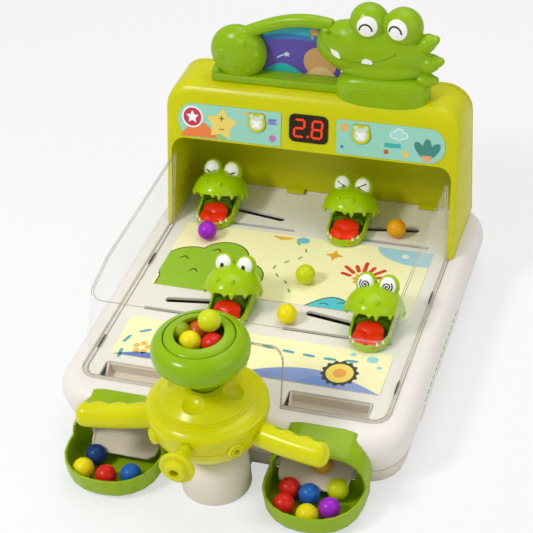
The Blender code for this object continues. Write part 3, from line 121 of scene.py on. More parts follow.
white = (1.0, 1.0, 1.0, 1.0)
room_light = 0.45
room = bpy.data.worlds.new("room")
room.use_nodes = True
tree = room.node_tree
backdrop = tree.nodes["Background"]
level = put(tree, "Mix", {"Factor": looked_at(tree), "A": room_light, "B": 1.0})
tree.links.new(level.outputs["Result"], backdrop.inputs["Strength"])
backdrop.inputs["Color"].default_value = white
scene.world = room

# Floor. A plain white sheet that keeps the game's shadow and lets the rest run out to white.

floor_half = 3.0
floor_glow_share = 0.55
floor_white = (0.86, 0.86, 0.87, 1.0)
floor_mesh = bpy.data.meshes.new("floor")
floor_corners = [(x * floor_half, y * floor_half, 0) for x, y in ((-1, -1), (1, -1), (1, 1), (-1, 1))]
floor_mesh.from_pydata(floor_corners, [], [(0, 1, 2, 3)])
floor = bpy.data.objects.new("floor", floor_mesh)
scene.collection.objects.link(floor)
floor_sheet = bpy.data.materials.new("floor_sheet")
floor_sheet.use_nodes = True
tree = floor_sheet.node_tree
tree.nodes.clear()
matt = put(tree, "BsdfDiffuse", {"Color": floor_white})
glow = put(tree, "Emission", {"Color": white, "Strength": 1.0})
share = put(tree, "Math", {0: looked_at(tree), 1: floor_glow_share}, operation="MULTIPLY")
blend = put(tree, "MixShader", {0: share.outputs[0], 1: matt.outputs[0], 2: glow.outputs[0]})
put(tree, "OutputMaterial", {"Surface": blend.outputs[0]})
floor_mesh.materials.append(floor_sheet)


# Base. Two injection moulded shells in off-white, the tray in a warmer cream, snapped together at a
# seam line. Every plastic piece of the game shares a fine moulded grain, faint smears and a slow drift.

def srgb(red, green, blue):
    """Linear colour from a paint chip's 0 to 255 values."""
    chip = []
    for value in (red, green, blue):
        share = value / 255
        chip.append(share / 12.92 if share <= 0.04045 else ((share + 0.055) / 1.055) ** 2.4)
    return (*chip, 1.0)


def make_moulding_skin():
    """Colour, roughness and relief of a moulded surface, from its own coordinates."""
    group = bpy.data.node_groups.new("moulding_skin", "ShaderNodeTree")
    for name, kind in (("Colour", "Color"), ("Drift", "Float"), ("Rubbed", "Float"), ("Roughness", "Float"),
                       ("Smears", "Float"), ("Grain", "Float")):
        group.interface.new_socket(name, in_out="INPUT", socket_type="NodeSocket" + kind)
    for name, kind in (("Colour", "Color"), ("Roughness", "Float"), ("Relief", "Float")):
        group.interface.new_socket(name, in_out="OUTPUT", socket_type="NodeSocket" + kind)
    given = group.nodes.new("NodeGroupInput").outputs
    place = put(group, "TexCoord").outputs["Object"]

    def noise(scale, **more):
        return put(group, "TexNoise", {"Vector": place, "Scale": scale, **more}).outputs["Fac"]

    def spread(value, low, high, start, end):
        return put(group, "MapRange", {"Value": value, 1: low, 2: high, 3: start, 4: end}).outputs[0]

    grain = noise(given["Grain"], Detail=2.0)
    drift = spread(noise(17.0, Detail=2.0), 0.3, 0.7, -0.5, 0.5)
    shade = put(group, "Math", {0: drift, 1: given["Drift"], 2: 1.0}, operation="MULTIPLY_ADD").outputs[0]
    tinted = put(group, "VectorMath", {0: given["Colour"], "Scale": shade}, operation="SCALE").outputs[0]
    edge = put(group, "NewGeometry").outputs["Pointiness"]
    worn = put(group, "Math", {0: spread(edge, 0.52, 0.60, 0.0, 1.0), 1: given["Rubbed"]},
               operation="MULTIPLY").outputs[0]
    pale = put(group, "Mix", {"Factor": worn, "A": tinted, "B": (1.0, 1.0, 0.93, 1.0)},
               data_type="RGBA").outputs["Result"]
    smear = spread(noise(75.0, Detail=5.0, Roughness=0.62), 0.3, 0.7, -0.5, 0.5)
    finish = put(group, "Math", {0: smear, 1: given["Smears"], 2: given["Roughness"]},
                 operation="MULTIPLY_ADD").outputs[0]
    out = group.nodes.new("NodeGroupOutput")
    for name, socket in (("Colour", pale), ("Roughness", finish), ("Relief", grain)):
        group.links.new(socket, out.inputs[name])
    return group


moulding_skin = make_moulding_skin()
grain_scale = 1500.0
soft_gloss = 0.26


def moulded(name, chip, roughness=0.33, drift=0.07, rubbed=0.0, smears=0.10, relief=0.00004, **shell):
    """A moulded plastic: its paint chip, gloss, shade drift, rubbed edges, smears and grain."""
    material = bpy.data.materials.new(name)
    material.use_nodes = True
    tree = material.node_tree
    body = tree.nodes["Principled BSDF"]
    skin = put(tree, "ShaderNodeGroup", {"Colour": srgb(*chip), "Drift": drift, "Rubbed": rubbed, "Smears": smears,
                                         "Roughness": roughness, "Grain": grain_scale}, node_tree=moulding_skin)
    bump = put(tree, "Bump", {"Height": skin.outputs["Relief"], "Distance": relief, "Strength": 1.0})
    tree.links.new(skin.outputs["Colour"], body.inputs["Base Color"])
    tree.links.new(skin.outputs["Roughness"], body.inputs["Roughness"])
    tree.links.new(bump.outputs["Normal"], body.inputs["Normal"])
    body.inputs["Specular IOR Level"].default_value = soft_gloss
    for socket, value in shell.items():
        body.inputs[socket.replace("_", " ")].default_value = value
    return material


slot_of = {row["node"]: row["material_slot"] for row in frame["record"]["subparts"]}
body_of = {node: body for body, members in frame["record"]["behaviour"]["bodies"].items() for node in members}
weld_reach = 0.00001
flat_angle = radians(0.6)
edge_angle = radians(36)


def linked(piece):
    """Put a piece in the scene if it isn't there yet."""
    if piece.name not in scene.collection.objects:
        scene.collection.objects.link(piece)
    return piece


def rest(piece, body, slot, *stands_for):
    """Link a finished piece, let it move with its body, and hide the CAD parts it stands for; its slot is not used."""
    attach(linked(piece), body)
    if stands_for:
        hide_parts(*stands_for)
    return piece


def joined_up(node):
    """A CAD solid's shape with its loose triangles merged into flat faces."""
    shape = bmesh.new()
    shape.from_mesh(nodes[node].data)
    bmesh.ops.remove_doubles(shape, verts=shape.verts, dist=weld_reach)
    bmesh.ops.dissolve_limit(shape, angle_limit=flat_angle, verts=shape.verts, edges=shape.edges)
    return shape


def to_piece(name, shape, material):
    """A plain mesh object from a shape, smooth all over."""
    shape.verts.index_update()
    mesh = bpy.data.meshes.new(name)
    mesh.from_pydata([v.co for v in shape.verts], [], [[v.index for v in face.verts] for face in shape.faces])
    shape.free()
    mesh.materials.append(material)
    mesh.shade_smooth()
    return bpy.data.objects.new(name, mesh)


def closed(name, shape, material):
    """A plain mesh object from a shape whose faces are first turned outwards."""
    bmesh.ops.recalc_face_normals(shape, faces=shape.faces)
    return to_piece(name, shape, material)


def ease(piece, width, segments=2):
    """Round the hard edges of a piece, as a mould leaves them."""
    bevel = piece.modifiers.new("eased_edges", "BEVEL")
    bevel.width = width
    bevel.segments = segments
    bevel.limit_method = "ANGLE"
    bevel.angle_limit = edge_angle
    bevel.harden_normals = True
    return piece


def dressed(node, material, edge=0.0005, segments=2):
    """Stand in for a CAD solid with its own shape, hard edges eased and curves shaded smooth."""
    piece = to_piece(node + "_moulded", joined_up(node), material)
    if edge:
        ease(piece, edge, segments)
    return rest(piece, body_of[node], slot_of[node], node)


def applied(piece):
    """Take a piece's modifiers into its mesh."""
    linked(piece)
    bpy.context.view_layer.update()
    graph = bpy.context.evaluated_depsgraph_get()
    mesh = bpy.data.meshes.new_from_object(piece.evaluated_get(graph))
    piece.modifiers.clear()
    piece.data = mesh
    mesh.shade_smooth()
    return piece


def carve(piece, tool, **options):
    """Cut a tool out of a piece and drop the tool."""
    step = piece.modifiers.new("carve", "BOOLEAN")
    step.operation = "DIFFERENCE"
    step.object = linked(tool)
    step.solver = "EXACT"
    for option, value in options.items():
        setattr(step, option, value)
    applied(piece)
    bpy.data.objects.remove(tool)
    return piece


def tree_of(piece):
    """A piece's surface, for rays to be cast at."""
    return BVHTree.FromPolygons([v.co for v in piece.data.vertices], [list(p.vertices) for p in piece.data.polygons])


def nodes_with(name, inputs):
    """A new Geometry Nodes tree with its named inputs."""
    tree = bpy.data.node_groups.new(name, "GeometryNodeTree")
    for socket, kind in inputs:
        tree.interface.new_socket(socket, in_out="INPUT", socket_type="NodeSocket" + kind)
    tree.interface.new_socket("Pieces", in_out="OUTPUT", socket_type="NodeSocketGeometry")
    return tree, put(tree, "NodeGroupInput").outputs


def end_with(tree, pieces, finish):
    """Close a tree with real pieces in their finish."""
    real = put(tree, "GeometryNodeRealizeInstances", {"Geometry": pieces}).outputs[0]
    done = put(tree, "GeometryNodeSetMaterial", {"Geometry": real, "Material": finish}).outputs[0]
    tree.links.new(done, put(tree, "NodeGroupOutput").inputs["Pieces"])
    return tree


def make_set_out():
    """Sets a pattern piece at each place, at its size and turn, with a seeded tumble."""
    tree, given = nodes_with("set_out", [("Places", "Geometry"), ("Pattern", "Object"), ("Width", "Float"),
                                         ("Height", "Float"), ("Tumble", "Float"), ("Seed", "Int"),
                                         ("Finish", "Material")])
    pattern = put(tree, "GeometryNodeObjectInfo", {"Object": given["Pattern"]}).outputs["Geometry"]
    turn, stretch = (put(tree, "GeometryNodeInputNamedAttribute", {"Name": name}, data_type=kind).outputs["Attribute"]
                     for name, kind in (("turn", "FLOAT_VECTOR"), ("stretch", "FLOAT")))
    low, high = (put(tree, "VectorMath", {0: (sign, sign, sign), "Scale": given["Tumble"]},
                     operation="SCALE").outputs[0] for sign in (-1.0, 1.0))
    loose = put(tree, "FunctionNodeRandomValue", {"Min": low, "Max": high, "Seed": given["Seed"]},
                data_type="FLOAT_VECTOR").outputs[0]
    turned_by = put(tree, "VectorMath", {0: turn, 1: loose}, operation="ADD").outputs[0]
    tall = put(tree, "Math", {0: given["Height"], 1: stretch}, operation="MULTIPLY").outputs[0]
    size = put(tree, "CombineXYZ", {"X": given["Width"], "Y": given["Width"], "Z": tall}).outputs[0]
    pieces = put(tree, "GeometryNodeInstanceOnPoints", {"Points": given["Places"], "Instance": pattern,
                                                        "Rotation": turned_by, "Scale": size}).outputs[0]
    return end_with(tree, pieces, given["Finish"])


set_out = make_set_out()


def laid_out(name, tree, places, sizes, turns=None, stretches=None, route=False):
    """One plain mesh from a Geometry Nodes tree that is run on places, or on a route through them."""
    mesh = bpy.data.meshes.new(name)
    mesh.from_pydata([tuple(p) for p in places], [(i, i + 1) for i in range(len(places) - 1)] if route else [], [])
    mesh.attributes.new("turn", "FLOAT_VECTOR", "POINT")
    mesh.attributes.new("stretch", "FLOAT", "POINT")
    for place in range(len(places)):
        mesh.attributes["turn"].data[place].vector = turns[place] if turns else (0.0, 0.0, 0.0)
        mesh.attributes["stretch"].data[place].value = stretches[place] if stretches else 1.0
    piece = linked(bpy.data.objects.new(name, mesh))
    if "Pattern" in sizes:
        linked(sizes["Pattern"])
    modifier = piece.modifiers.new("laid_out", "NODES")
    modifier.node_group = tree
    for item in tree.interface.items_tree:
        if item.in_out == "INPUT" and item.name in sizes:
            modifier[item.identifier] = sizes[item.name]
    applied(piece)
    for spare in ("turn", "stretch"):
        if spare in piece.data.attributes:
            piece.data.attributes.remove(piece.data.attributes[spare])
    shape = bmesh.new()
    shape.from_mesh(piece.data)
    bmesh.ops.recalc_face_normals(shape, faces=shape.faces)
    shape.to_mesh(piece.data)
    shape.free()
    return piece


def turned(name, profile, material, centre=Vector((0, 0, 0)), steps=120):
    """A turned piece from its closed profile of (radius, height)."""
    shape = bmesh.new()
    rings = []
    for radius, height in profile:
        if radius <= 0:
            rings.append([shape.verts.new(centre + Vector((0, 0, height)))])
            continue
        rings.append([shape.verts.new(centre + Vector((radius * cos(2 * pi * step / steps),
                                                       radius * sin(2 * pi * step / steps), height)))
                      for step in range(steps)])
    for ring, after in zip(rings, rings[1:] + rings[:1]):
        for step in range(steps):
            other = (step + 1) % steps
            corners = [ring[step % len(ring)], after[step % len(after)], after[other % len(after)],
                       ring[other % len(ring)]]
            corners = list(dict.fromkeys(corners))
            if len(corners) > 2:
                shape.faces.new(corners)
    return closed(name, shape, material)


def block(shape, middle, size, turn=Matrix()):
    """Add a box to a shape."""
    bmesh.ops.create_cube(shape, size=1.0, matrix=turn @ Matrix.Translation(middle) @ Matrix.Diagonal((*size, 1.0)))


def screw_pattern(material):
    """A pan-head screw of unit radius, with a cross recess."""
    head = turned("screw_pattern", [(0.0, 1.0), (0.55, 0.94), (0.85, 0.70), (1.0, 0.30), (1.0, 0.0), (0.0, 0.0)],
                  material, steps=24)
    cross = bmesh.new()
    for turn in (0, pi / 2):
        block(cross, (0, 0, 0.95), (1.15, 0.22, 0.9), Matrix.Rotation(turn, 4, "Z"))
    return carve(head, to_piece("screw_cross", cross, material), use_self=True)


white_shell = moulded("white_shell", (240, 233, 227), roughness=0.36, drift=0.03)
cream_shell = moulded("cream_shell", (233, 225, 208), roughness=0.40, drift=0.03)
base_piece = dressed("base_shell", white_shell, 0.0009, 3)
dressed("base_tray", cream_shell, 0.0008)
dressed("battery_door", cream_shell, 0.0003)
screw_steel = moulded("screw_steel", (150, 150, 152), roughness=0.35, Metallic=0.9)
foot_rubber = moulded("foot_rubber", (60, 58, 56), roughness=0.7, drift=0.05)
under_turn = (pi, 0.0, 0.0)
foot_radius, foot_drop = 0.0085, 0.0007
foot_places = [(x, y, 0.0003) for x in (-0.128, 0.128) for y in (-0.148, 0.148)]
foot = turned("foot_pattern", [(0.0, 0.9), (0.70, 0.92), (0.93, 0.70), (1.0, 0.35), (1.0, 0.0), (0.0, 0.0)],
              foot_rubber, steps=40)
rest(laid_out("rubber_feet", set_out, foot_places,
              {"Pattern": foot, "Width": foot_radius, "Height": foot_drop, "Finish": foot_rubber}, [under_turn] * 4),
     "housing", "cream_plastic")
bpy.data.objects.remove(foot)
screw_head = screw_pattern(screw_steel)


def screws(name, places, turns, radius, height, body="housing"):
    """Pan-head screws at their places, each turned to face out."""
    sizes = {"Pattern": screw_head, "Width": radius, "Height": height, "Finish": screw_steel}
    rest(laid_out(name, set_out, places, sizes, turns), body, "motor_grey")


tray_screws = [(x, y, 0.0002) for x in (-0.105, 0.105) for y in (-0.120, 0.0, 0.120)]
screws("tray_screws", tray_screws, [under_turn] * 6, 0.0032, 0.0006)

# Playfield. A satin white deck with slots for the targets and two troughs for the balls, and two
# printed card mats laid on it. The prints are inks laid down one over another.

ink_layer = 0.00006
deck_white = moulded("deck_white", (236, 231, 220), roughness=0.42, drift=0.03)
mat_card = moulded("mat_card", (253, 247, 190), roughness=0.48, drift=0.035, relief=0.00002)
dressed("playfield_deck", deck_white, 0.0004)
dressed("front_mat", mat_card, 0).data.shade_flat()
dressed("rear_mat", mat_card, 0).data.shade_flat()
mat_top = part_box("rear_mat")[1].z


def ink(name, chip, roughness=0.45):
    return moulded(name, chip, roughness=roughness, drift=0.05, smears=0.08, relief=0.00002)


def lying(height):
    """Where a print lies flat, facing up, at a height."""
    return Matrix.Translation((0, 0, height))


def round_outline(centre, radius, points=40, start=0.0, end=2 * pi, squeeze=1.0):
    """An arc or full circle about a centre, squeezed upwards for an oval."""
    steps = points if end - start < 2 * pi - 0.001 else points - 1
    return [Vector((centre[0] + radius * cos(start + (end - start) * step / points),
                    centre[1] + radius * squeeze * sin(start + (end - start) * step / points)))
            for step in range(steps + 1)]


def star_outline(centre, radius, tips=5, waist=0.45, turn=pi / 2):
    """A star, or a toothed sun where its waist is wide."""
    outline = []
    for step in range(tips * 2):
        reach = radius if step % 2 == 0 else radius * waist
        angle = turn + pi * step / tips
        outline.append(Vector((centre[0] + reach * cos(angle), centre[1] + reach * sin(angle))))
    return outline


def stroke(path, width):
    """A pen line along a path, as overlapping round-ended runs."""
    runs = []
    for start, end in zip(path, path[1:]):
        start, end = Vector(start), Vector(end)
        heading = atan2(end.y - start.y, end.x - start.x)
        run = round_outline(end, width / 2, 8, heading - pi / 2, heading + pi / 2)
        run += round_outline(start, width / 2, 8, heading + pi / 2, heading + 3 * pi / 2)
        runs.append(run)
    return runs


def hill(left, right, foot, rise, points=24):
    """A mound with a flat foot."""
    top = [Vector((left + (right - left) * step / points, foot + rise * sin(pi * step / points)))
           for step in range(1, points)]
    return [Vector((right, foot)), *reversed(top), Vector((left, foot))]


def printed(name, outlines, placing, material, proud=ink_layer, carrier=None, pitch=0.0012, sunk=0.0):
    """A thin closed layer in the shape of the outlines, flat or wrapped onto what carries it."""
    points = [Vector((p[0], p[1])) for outline in outlines for p in outline]
    loops, count = [], 0
    for outline in outlines:
        loops.append(list(range(count, count + len(outline))))
        count += len(outline)
    if carrier is not None:
        low = Vector((min(p.x for p in points), min(p.y for p in points)))
        high = Vector((max(p.x for p in points), max(p.y for p in points)))
        across = int((high.x - low.x) / pitch) + 1
        along = int((high.y - low.y) / pitch) + 1
        points += [low + Vector((pitch * (column + 0.47), pitch * (row + 0.53)))
                   for column in range(across) for row in range(along)]
    spots, _, faces, *_ = geometry.delaunay_2d_cdt(points, [], loops, 1, 0.0000001)
    used = sorted({index for face in faces for index in face})
    number = {index: place for place, index in enumerate(used)}
    shape = bmesh.new()
    tops, feet = [], []
    outward = placing.to_3x3() @ Vector((0, 0, 1))
    for index in used:
        spot = placing @ Vector((spots[index].x, spots[index].y, 0.0))
        if carrier is not None:
            hit = carrier.ray_cast(spot + outward * 0.06, -outward)[0]
            spot = hit if hit is not None else carrier.find_nearest(spot)[0]
        tops.append(shape.verts.new(spot + outward * proud))
        feet.append(shape.verts.new(spot - outward * (sunk if carrier is None else max(sunk, proud * 2))))
    edges = {}
    for face in faces:
        ring = [number[index] for index in face]
        shape.faces.new([tops[index] for index in ring])
        shape.faces.new([feet[index] for index in reversed(ring)])
        for start, end in zip(ring, ring[1:] + ring[:1]):
            edges[(start, end)] = edges.get((start, end), 0) + 1
    for start, end in edges:
        if (end, start) not in edges:
            shape.faces.new([tops[end], tops[start], feet[start], feet[end]])
    piece = to_piece(name, shape, material)
    piece.data.shade_flat()
    return piece


def make_strung():
    """Strings a pattern piece along a route, a given number of times, each lying along the route."""
    tree, given = nodes_with("strung", [("Route", "Geometry"), ("Pattern", "Object"), ("Count", "Int"),
                                        ("Length", "Float"), ("Width", "Float"), ("Height", "Float"),
                                        ("Finish", "Material")])
    line = put(tree, "GeometryNodeMeshToCurve", {"Mesh": given["Route"]}).outputs[0]
    spaced = put(tree, "GeometryNodeResampleCurve", {"Curve": line, "Count": given["Count"]}, mode="COUNT").outputs[0]
    along = put(tree, "GeometryNodeInputTangent").outputs[0]
    turn = put(tree, "FunctionNodeAlignRotationToVector", {"Vector": along}, axis="X").outputs[0]
    pattern = put(tree, "GeometryNodeObjectInfo", {"Object": given["Pattern"]}).outputs["Geometry"]
    size = put(tree, "CombineXYZ", {"X": given["Length"], "Y": given["Width"], "Z": given["Height"]}).outputs[0]
    pieces = put(tree, "GeometryNodeInstanceOnPoints", {"Points": spaced, "Instance": pattern, "Rotation": turn,
                                                        "Scale": size}).outputs[0]
    return end_with(tree, pieces, given["Finish"])


strung = make_strung()
dash_points = 20
dash_shape = bmesh.new()
dash_rim = [Vector((p.x * 0.5, p.y * 0.5)) for p in round_outline((0, 0), 1.0, dash_points)]
for height, outward in ((1.0, True), (0.0, False)):
    ring = [dash_shape.verts.new((max(-0.5, min(0.5, p.x * 1.25)), p.y, height)) for p in dash_rim]
    dash_shape.faces.new(ring if outward else ring[::-1])
dash_shape.verts.ensure_lookup_table()
for place in range(dash_points):
    after = (place + 1) % dash_points
    dash_shape.faces.new([dash_shape.verts[corner] for corner in
                          (after, place, dash_points + place, dash_points + after)])
dash = closed("dash_pattern", dash_shape, deck_white)


def dashes_on_mat(name, route, count, length, width, colour):
    """Printed dashes that follow a route on a mat."""
    finish = ink(name + "_ink", colour)
    piece = laid_out(name, strung, [(x, y, mat_top) for x, y in route],
                     {"Pattern": dash, "Count": count, "Length": length, "Width": width, "Height": ink_layer,
                      "Finish": finish}, route=True)
    piece.data.shade_flat()
    return rest(piece, "housing", "print_cream")


def inked(name, outlines, colour, placing, slot):
    """One ink of a print."""
    return rest(printed(name, outlines, placing, ink(name + "_ink", colour), ink_layer), "housing", slot)


def over(layer):
    """How high an ink lies over those laid before it."""
    return ink_layer * (layer - 1) * 0.5


def print_on_mat(name, outlines, colour, layer=1):
    return inked(name, outlines, colour, lying(mat_top + over(layer)), "print_cream")


rear_left, rear_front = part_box("rear_mat")[0].xy
rear_right, rear_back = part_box("rear_mat")[1].xy
front_left, front_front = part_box("front_mat")[0].xy
front_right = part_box("front_mat")[1].x

bush_centres = [(-0.104, 0.020, 0.030), (-0.074, 0.038, 0.026), (-0.047, 0.014, 0.022)]


def kept_in(outline, left, right, low, high):
    """An outline held back to a frame."""
    return [Vector((min(max(p.x, left), right), min(max(p.y, low), high))) for p in outline]


def bush(grow):
    """Three round lobes on a square foot, cut off at the mat's edge."""
    lobes = [round_outline((x, y), radius + grow) for x, y, radius in bush_centres]
    lobes.append([Vector(p) for p in ((-0.126 - grow, rear_front), (-0.033 + grow, rear_front),
                                      (-0.033 + grow, 0.012), (-0.126 - grow, 0.012))])
    return [kept_in(lobe, rear_left, rear_right, rear_front, rear_back) for lobe in lobes]


print_on_mat("bush_outline", bush(0.0012), (28, 48, 20))
print_on_mat("bush", bush(0.0), (150, 192, 44), 2)
leaf_marks = []
for x, y in ((-0.112, 0.030), (-0.096, 0.012), (-0.083, 0.048), (-0.066, 0.032), (-0.050, 0.020), (-0.074, 0.008)):
    leaf_marks += stroke([(x - 0.004, y), (x, y + 0.004), (x + 0.004, y)], 0.0013)
print_on_mat("leaf_marks", leaf_marks, (28, 48, 20), 3)
trail = [(-0.006 + 0.013 * sin(step * 1.15), 0.078 - 0.0108 * step) for step in range(8)]
dashes_on_mat("green_trail", trail, 8, 0.0062, 0.0020, (120, 180, 60))
print_on_mat("pond", [kept_in(round_outline((0.118, 0.094), 0.045, squeeze=0.62), rear_left, rear_right, rear_front,
                              rear_back)], (168, 214, 226))
print_on_mat("pond_pebble", [round_outline((0.104, 0.080), 0.0035)], (240, 240, 230), 2)
print_on_mat("sky_dot", [round_outline((-0.003, 0.0838), 0.0068, squeeze=0.75)], (120, 200, 215), 2)
print_on_mat("diamond", [star_outline((0.0346, 0.0667), 0.0095, 4, 0.42)], (235, 175, 50))
burst_marks = []
for step in range(7):
    angle = radians(20 + step * 24)
    inner, outer = 0.0135, 0.0135 + (0.0125 if step % 2 else 0.008)
    burst_marks += stroke([(0.071 + inner * cos(angle), 0.035 + inner * sin(angle)),
                           (0.071 + outer * cos(angle), 0.035 + outer * sin(angle))], 0.0042)
print_on_mat("burst_marks", burst_marks, (222, 72, 48))
print_on_mat("burst_heart", [star_outline((0.071, 0.035), 0.0105, 8, 0.66)], (240, 170, 60))
print_on_mat("lagoon_outline", [hill(0.0275, 0.0805, rear_front, 0.0185)], (30, 52, 60))
print_on_mat("lagoon", [hill(0.029, 0.079, rear_front, 0.0170)], (88, 200, 210), 2)
print_on_mat("ripples", stroke([(0.042, -0.010), (0.046, -0.0085), (0.050, -0.010)], 0.0010)
             + stroke([(0.058, -0.006), (0.062, -0.0045), (0.066, -0.006)], 0.0010), (30, 52, 60), 3)
print_on_mat("sand_bump", [hill(-0.036, -0.012, rear_back - 0.004, -0.0055)[::-1]], (236, 190, 70))

shore = [(-0.1205, -0.1215), (-0.1215, -0.101), (-0.112, -0.0875), (-0.096, -0.0828), (-0.078, -0.0835),
         (-0.045, -0.0800), (-0.008, -0.0808), (0.030, -0.0845), (0.068, -0.0870), (0.094, -0.0850)]
dashes_on_mat("shore_dashes", shore, 13, 0.0118, 0.0036, (80, 164, 176))
petals = [round_outline((-0.103 + 0.0062 * cos(angle), -0.1105 + 0.0062 * sin(angle)), 0.0032)
          for angle in (radians(90 + 72 * step) for step in range(5))]
print_on_mat("petals", petals, (240, 190, 60))
print_on_mat("blue_hill", [hill(-0.008, front_right, front_front, 0.0205)], (140, 160, 215))
print_on_mat("far_hill", [hill(front_left + 0.004, -0.060, front_front, 0.0080)], (86, 120, 190))
print_on_mat("near_hill", [hill(0.052, 0.094, front_front, 0.0130)], (112, 150, 220), 2)
print_on_mat("sun_outline", [star_outline((0.0877, -0.1035), 0.0182, 14, 0.84)], (50, 42, 22), 3)
print_on_mat("sun", [round_outline((0.0877, -0.1035), 0.0128)], (252, 224, 92), 4)
print_on_mat("sun_heart", [round_outline((0.0877, -0.1035), 0.0062)], (240, 170, 60), 5)
print_on_mat("drops", [round_outline(place, radius, squeeze=0.8) for place, radius in
                       (((0.093, -0.0755), 0.0030), ((0.1125, -0.0790), 0.0055), ((0.121, -0.0885), 0.0026))],
             (150, 214, 226))

# Side panels. A raised pad is moulded on each long side of the base, printed with green dashes round
# a row of yellow drops.

base_skin_tree = tree_of(base_piece)
base_half = 0.168
pad_left, pad_right, pad_low, pad_high, pad_corner, pad_proud = -0.118, 0.030, 0.0250, 0.0480, 0.0095, 0.0009
dash_count, dash_width = 30, 0.0014
sides = ((-1, "left"), (1, "right"))


def facing_side(side):
    """Placing for an outline drawn along and up, facing out from one side of the base."""
    return faced((side * base_half, 0, 0), (0, side, 0), (0, 0, 1), (side, 0, 0))


def pad_outline(side, inset):
    """The pad's rounded rectangle, drawn in by an inset."""
    left, right = (pad_left, pad_right) if side > 0 else (-pad_right, -pad_left)
    reach = pad_corner - inset
    corners = ((right, pad_high, 0.0, -1, -1), (left, pad_high, pi / 2, 1, -1), (left, pad_low, pi, 1, 1),
               (right, pad_low, 3 * pi / 2, -1, 1))
    return [point for x, z, start, inward, upward in corners
            for point in round_outline((x + inward * pad_corner, z + upward * pad_corner), reach, 8, start,
                                       start + pi / 2)]


for side, word in sides:
    pad = printed(word + "_side_pad", [pad_outline(side, 0.0)], facing_side(side), white_shell, pad_proud,
                  base_skin_tree, 0.003, 0.0010)
    pad_skin = tree_of(pad)
    rest(pad, "housing", "white_plastic")
    border = pad_outline(side, 0.0026)
    length = [0.0]
    for start, end in zip(border, border[1:] + border[:1]):
        length.append(length[-1] + (end - start).length)
    dashes = []
    for step in range(dash_count):
        ends = []
        for share in (step / dash_count, (step + 0.55) / dash_count):
            wanted = share * length[-1]
            place = max(index for index, run in enumerate(length[:-1]) if run <= wanted)
            start, end = border[place], border[(place + 1) % len(border)]
            run = max(length[place + 1] - length[place], 0.000001)
            ends.append(start + (end - start) * ((wanted - length[place]) / run))
        dashes += stroke(ends, dash_width)
    drops = [round_outline((side * (-0.104 + 0.0146 * step), 0.0365 + (0.0032 if step % 2 else -0.0032)), 0.0030, 20,
                           squeeze=1.3) for step in range(9)]
    for name, outlines, colour, slot in (("_side_dashes", dashes, (96, 196, 140), "print_mint"),
                                         ("_side_drops", drops, (222, 226, 96), "print_cream")):
        rest(printed(word + name, outlines, facing_side(side), ink(word + name + "_ink", colour), 0.0002, pad_skin,
                     0.004), "housing", slot)

# Arch. A glossy lime moulding leaning back over the field, with a rear cover of the same plastic
# screwed on behind. Its header carries two printed panels, two buttons and the score window.

lime = moulded("lime_plastic", (206, 204, 2), roughness=0.28, drift=0.06)
lime_inside = moulded("lime_inside", (196, 196, 4), roughness=0.42, drift=0.06)
dressed("arch_front", lime, 0.0022, 4)
cover_skin = tree_of(dressed("arch_back", lime_inside, 0.0008))
cover_screws = [cover_skin.ray_cast(Vector((x, 0.30, z)), Vector((0, -1, 0)))[0] for x, z in
                ((-0.143, 0.075), (0.143, 0.075), (-0.143, 0.135), (0.143, 0.135), (-0.120, 0.194), (0.0, 0.194),
                 (0.120, 0.194))]
screws("cover_screws", cover_screws, [(-pi / 2, 0.0, 0.0)] * len(cover_screws), 0.0034, 0.0011)
dressed("power_switch", moulded("switch_grey", (52, 54, 58), roughness=0.45), 0.0003)
dressed("display_board", moulded("board_green", (30, 90, 48), roughness=0.5), 0)

face_foot = Vector((0, 0.0825, 0.0573))
face_lean = atan(0.2754)
face_rise = Vector((0, sin(face_lean), cos(face_lean)))
face_out = Vector((0, -cos(face_lean), sin(face_lean)))


def on_face(out=0.0):
    """Placing on the arch's leaning face: x across, y up along it, z out towards the player."""
    return faced(face_foot + face_out * out, (1, 0, 0), face_rise, face_out)


mint = moulded("mint_print", (154, 214, 196), roughness=0.38, drift=0.03, relief=0.00002)
dressed("left_panel_sticker", mint, 0).data.shade_flat()
dressed("right_panel_sticker", mint, 0).data.shade_flat()
sticker_top = 0.0008


def print_on_panel(name, outlines, colour, layer=1):
    return inked(name, outlines, colour, on_face(sticker_top + over(layer)), "print_mint")


badge = (-0.1215, 0.1195)
print_on_panel("rainbow_low", [kept_in(hill(-0.1345, -0.084, 0.0990, 0.0125), -0.1345, 0, 0.0990, 1)], (150, 205, 110))
print_on_panel("rainbow_mid", [kept_in(hill(-0.1345, -0.094, 0.0990, 0.0165), -0.1345, 0, 0.0990, 1)],
               (236, 130, 70), 2)
print_on_panel("badge_ring", [round_outline(badge, 0.0112)], (250, 250, 245), 3)
print_on_panel("badge", [round_outline(badge, 0.0096)], (200, 60, 90), 4)
print_on_panel("badge_star", [star_outline(badge, 0.0068, 5, 0.5)], (250, 250, 245), 5)
print_on_panel("volume_star", [star_outline((-0.0905, 0.1150), 0.0172, 5, 0.58, pi / 2 - 0.1)], (240, 212, 110), 3)
print_on_panel("volume_marks", stroke([(-0.0930, 0.1208), (-0.0880, 0.1208)], 0.0009)
               + stroke([(-0.0905, 0.1183), (-0.0905, 0.1233)], 0.0009)
               + stroke([(-0.0930, 0.1095), (-0.0880, 0.1095)], 0.0009), (90, 75, 30), 4)
print_on_panel("pennant", [[(-0.0415, 0.1262), (-0.0315, 0.1262), (-0.0345, 0.1232), (-0.0315, 0.1202),
                            (-0.0415, 0.1202)]], (130, 130, 205))
print_on_panel("pink_dot", [round_outline((-0.0370, 0.1060), 0.0036)], (190, 120, 190))
print_on_panel("small_sun", [star_outline((-0.0655, 0.1290), 0.0024, 8, 0.7)], (240, 190, 80))
print_on_panel("orange_star", [star_outline((0.0365, 0.1262), 0.0048, 6, 0.72)], (240, 180, 90))
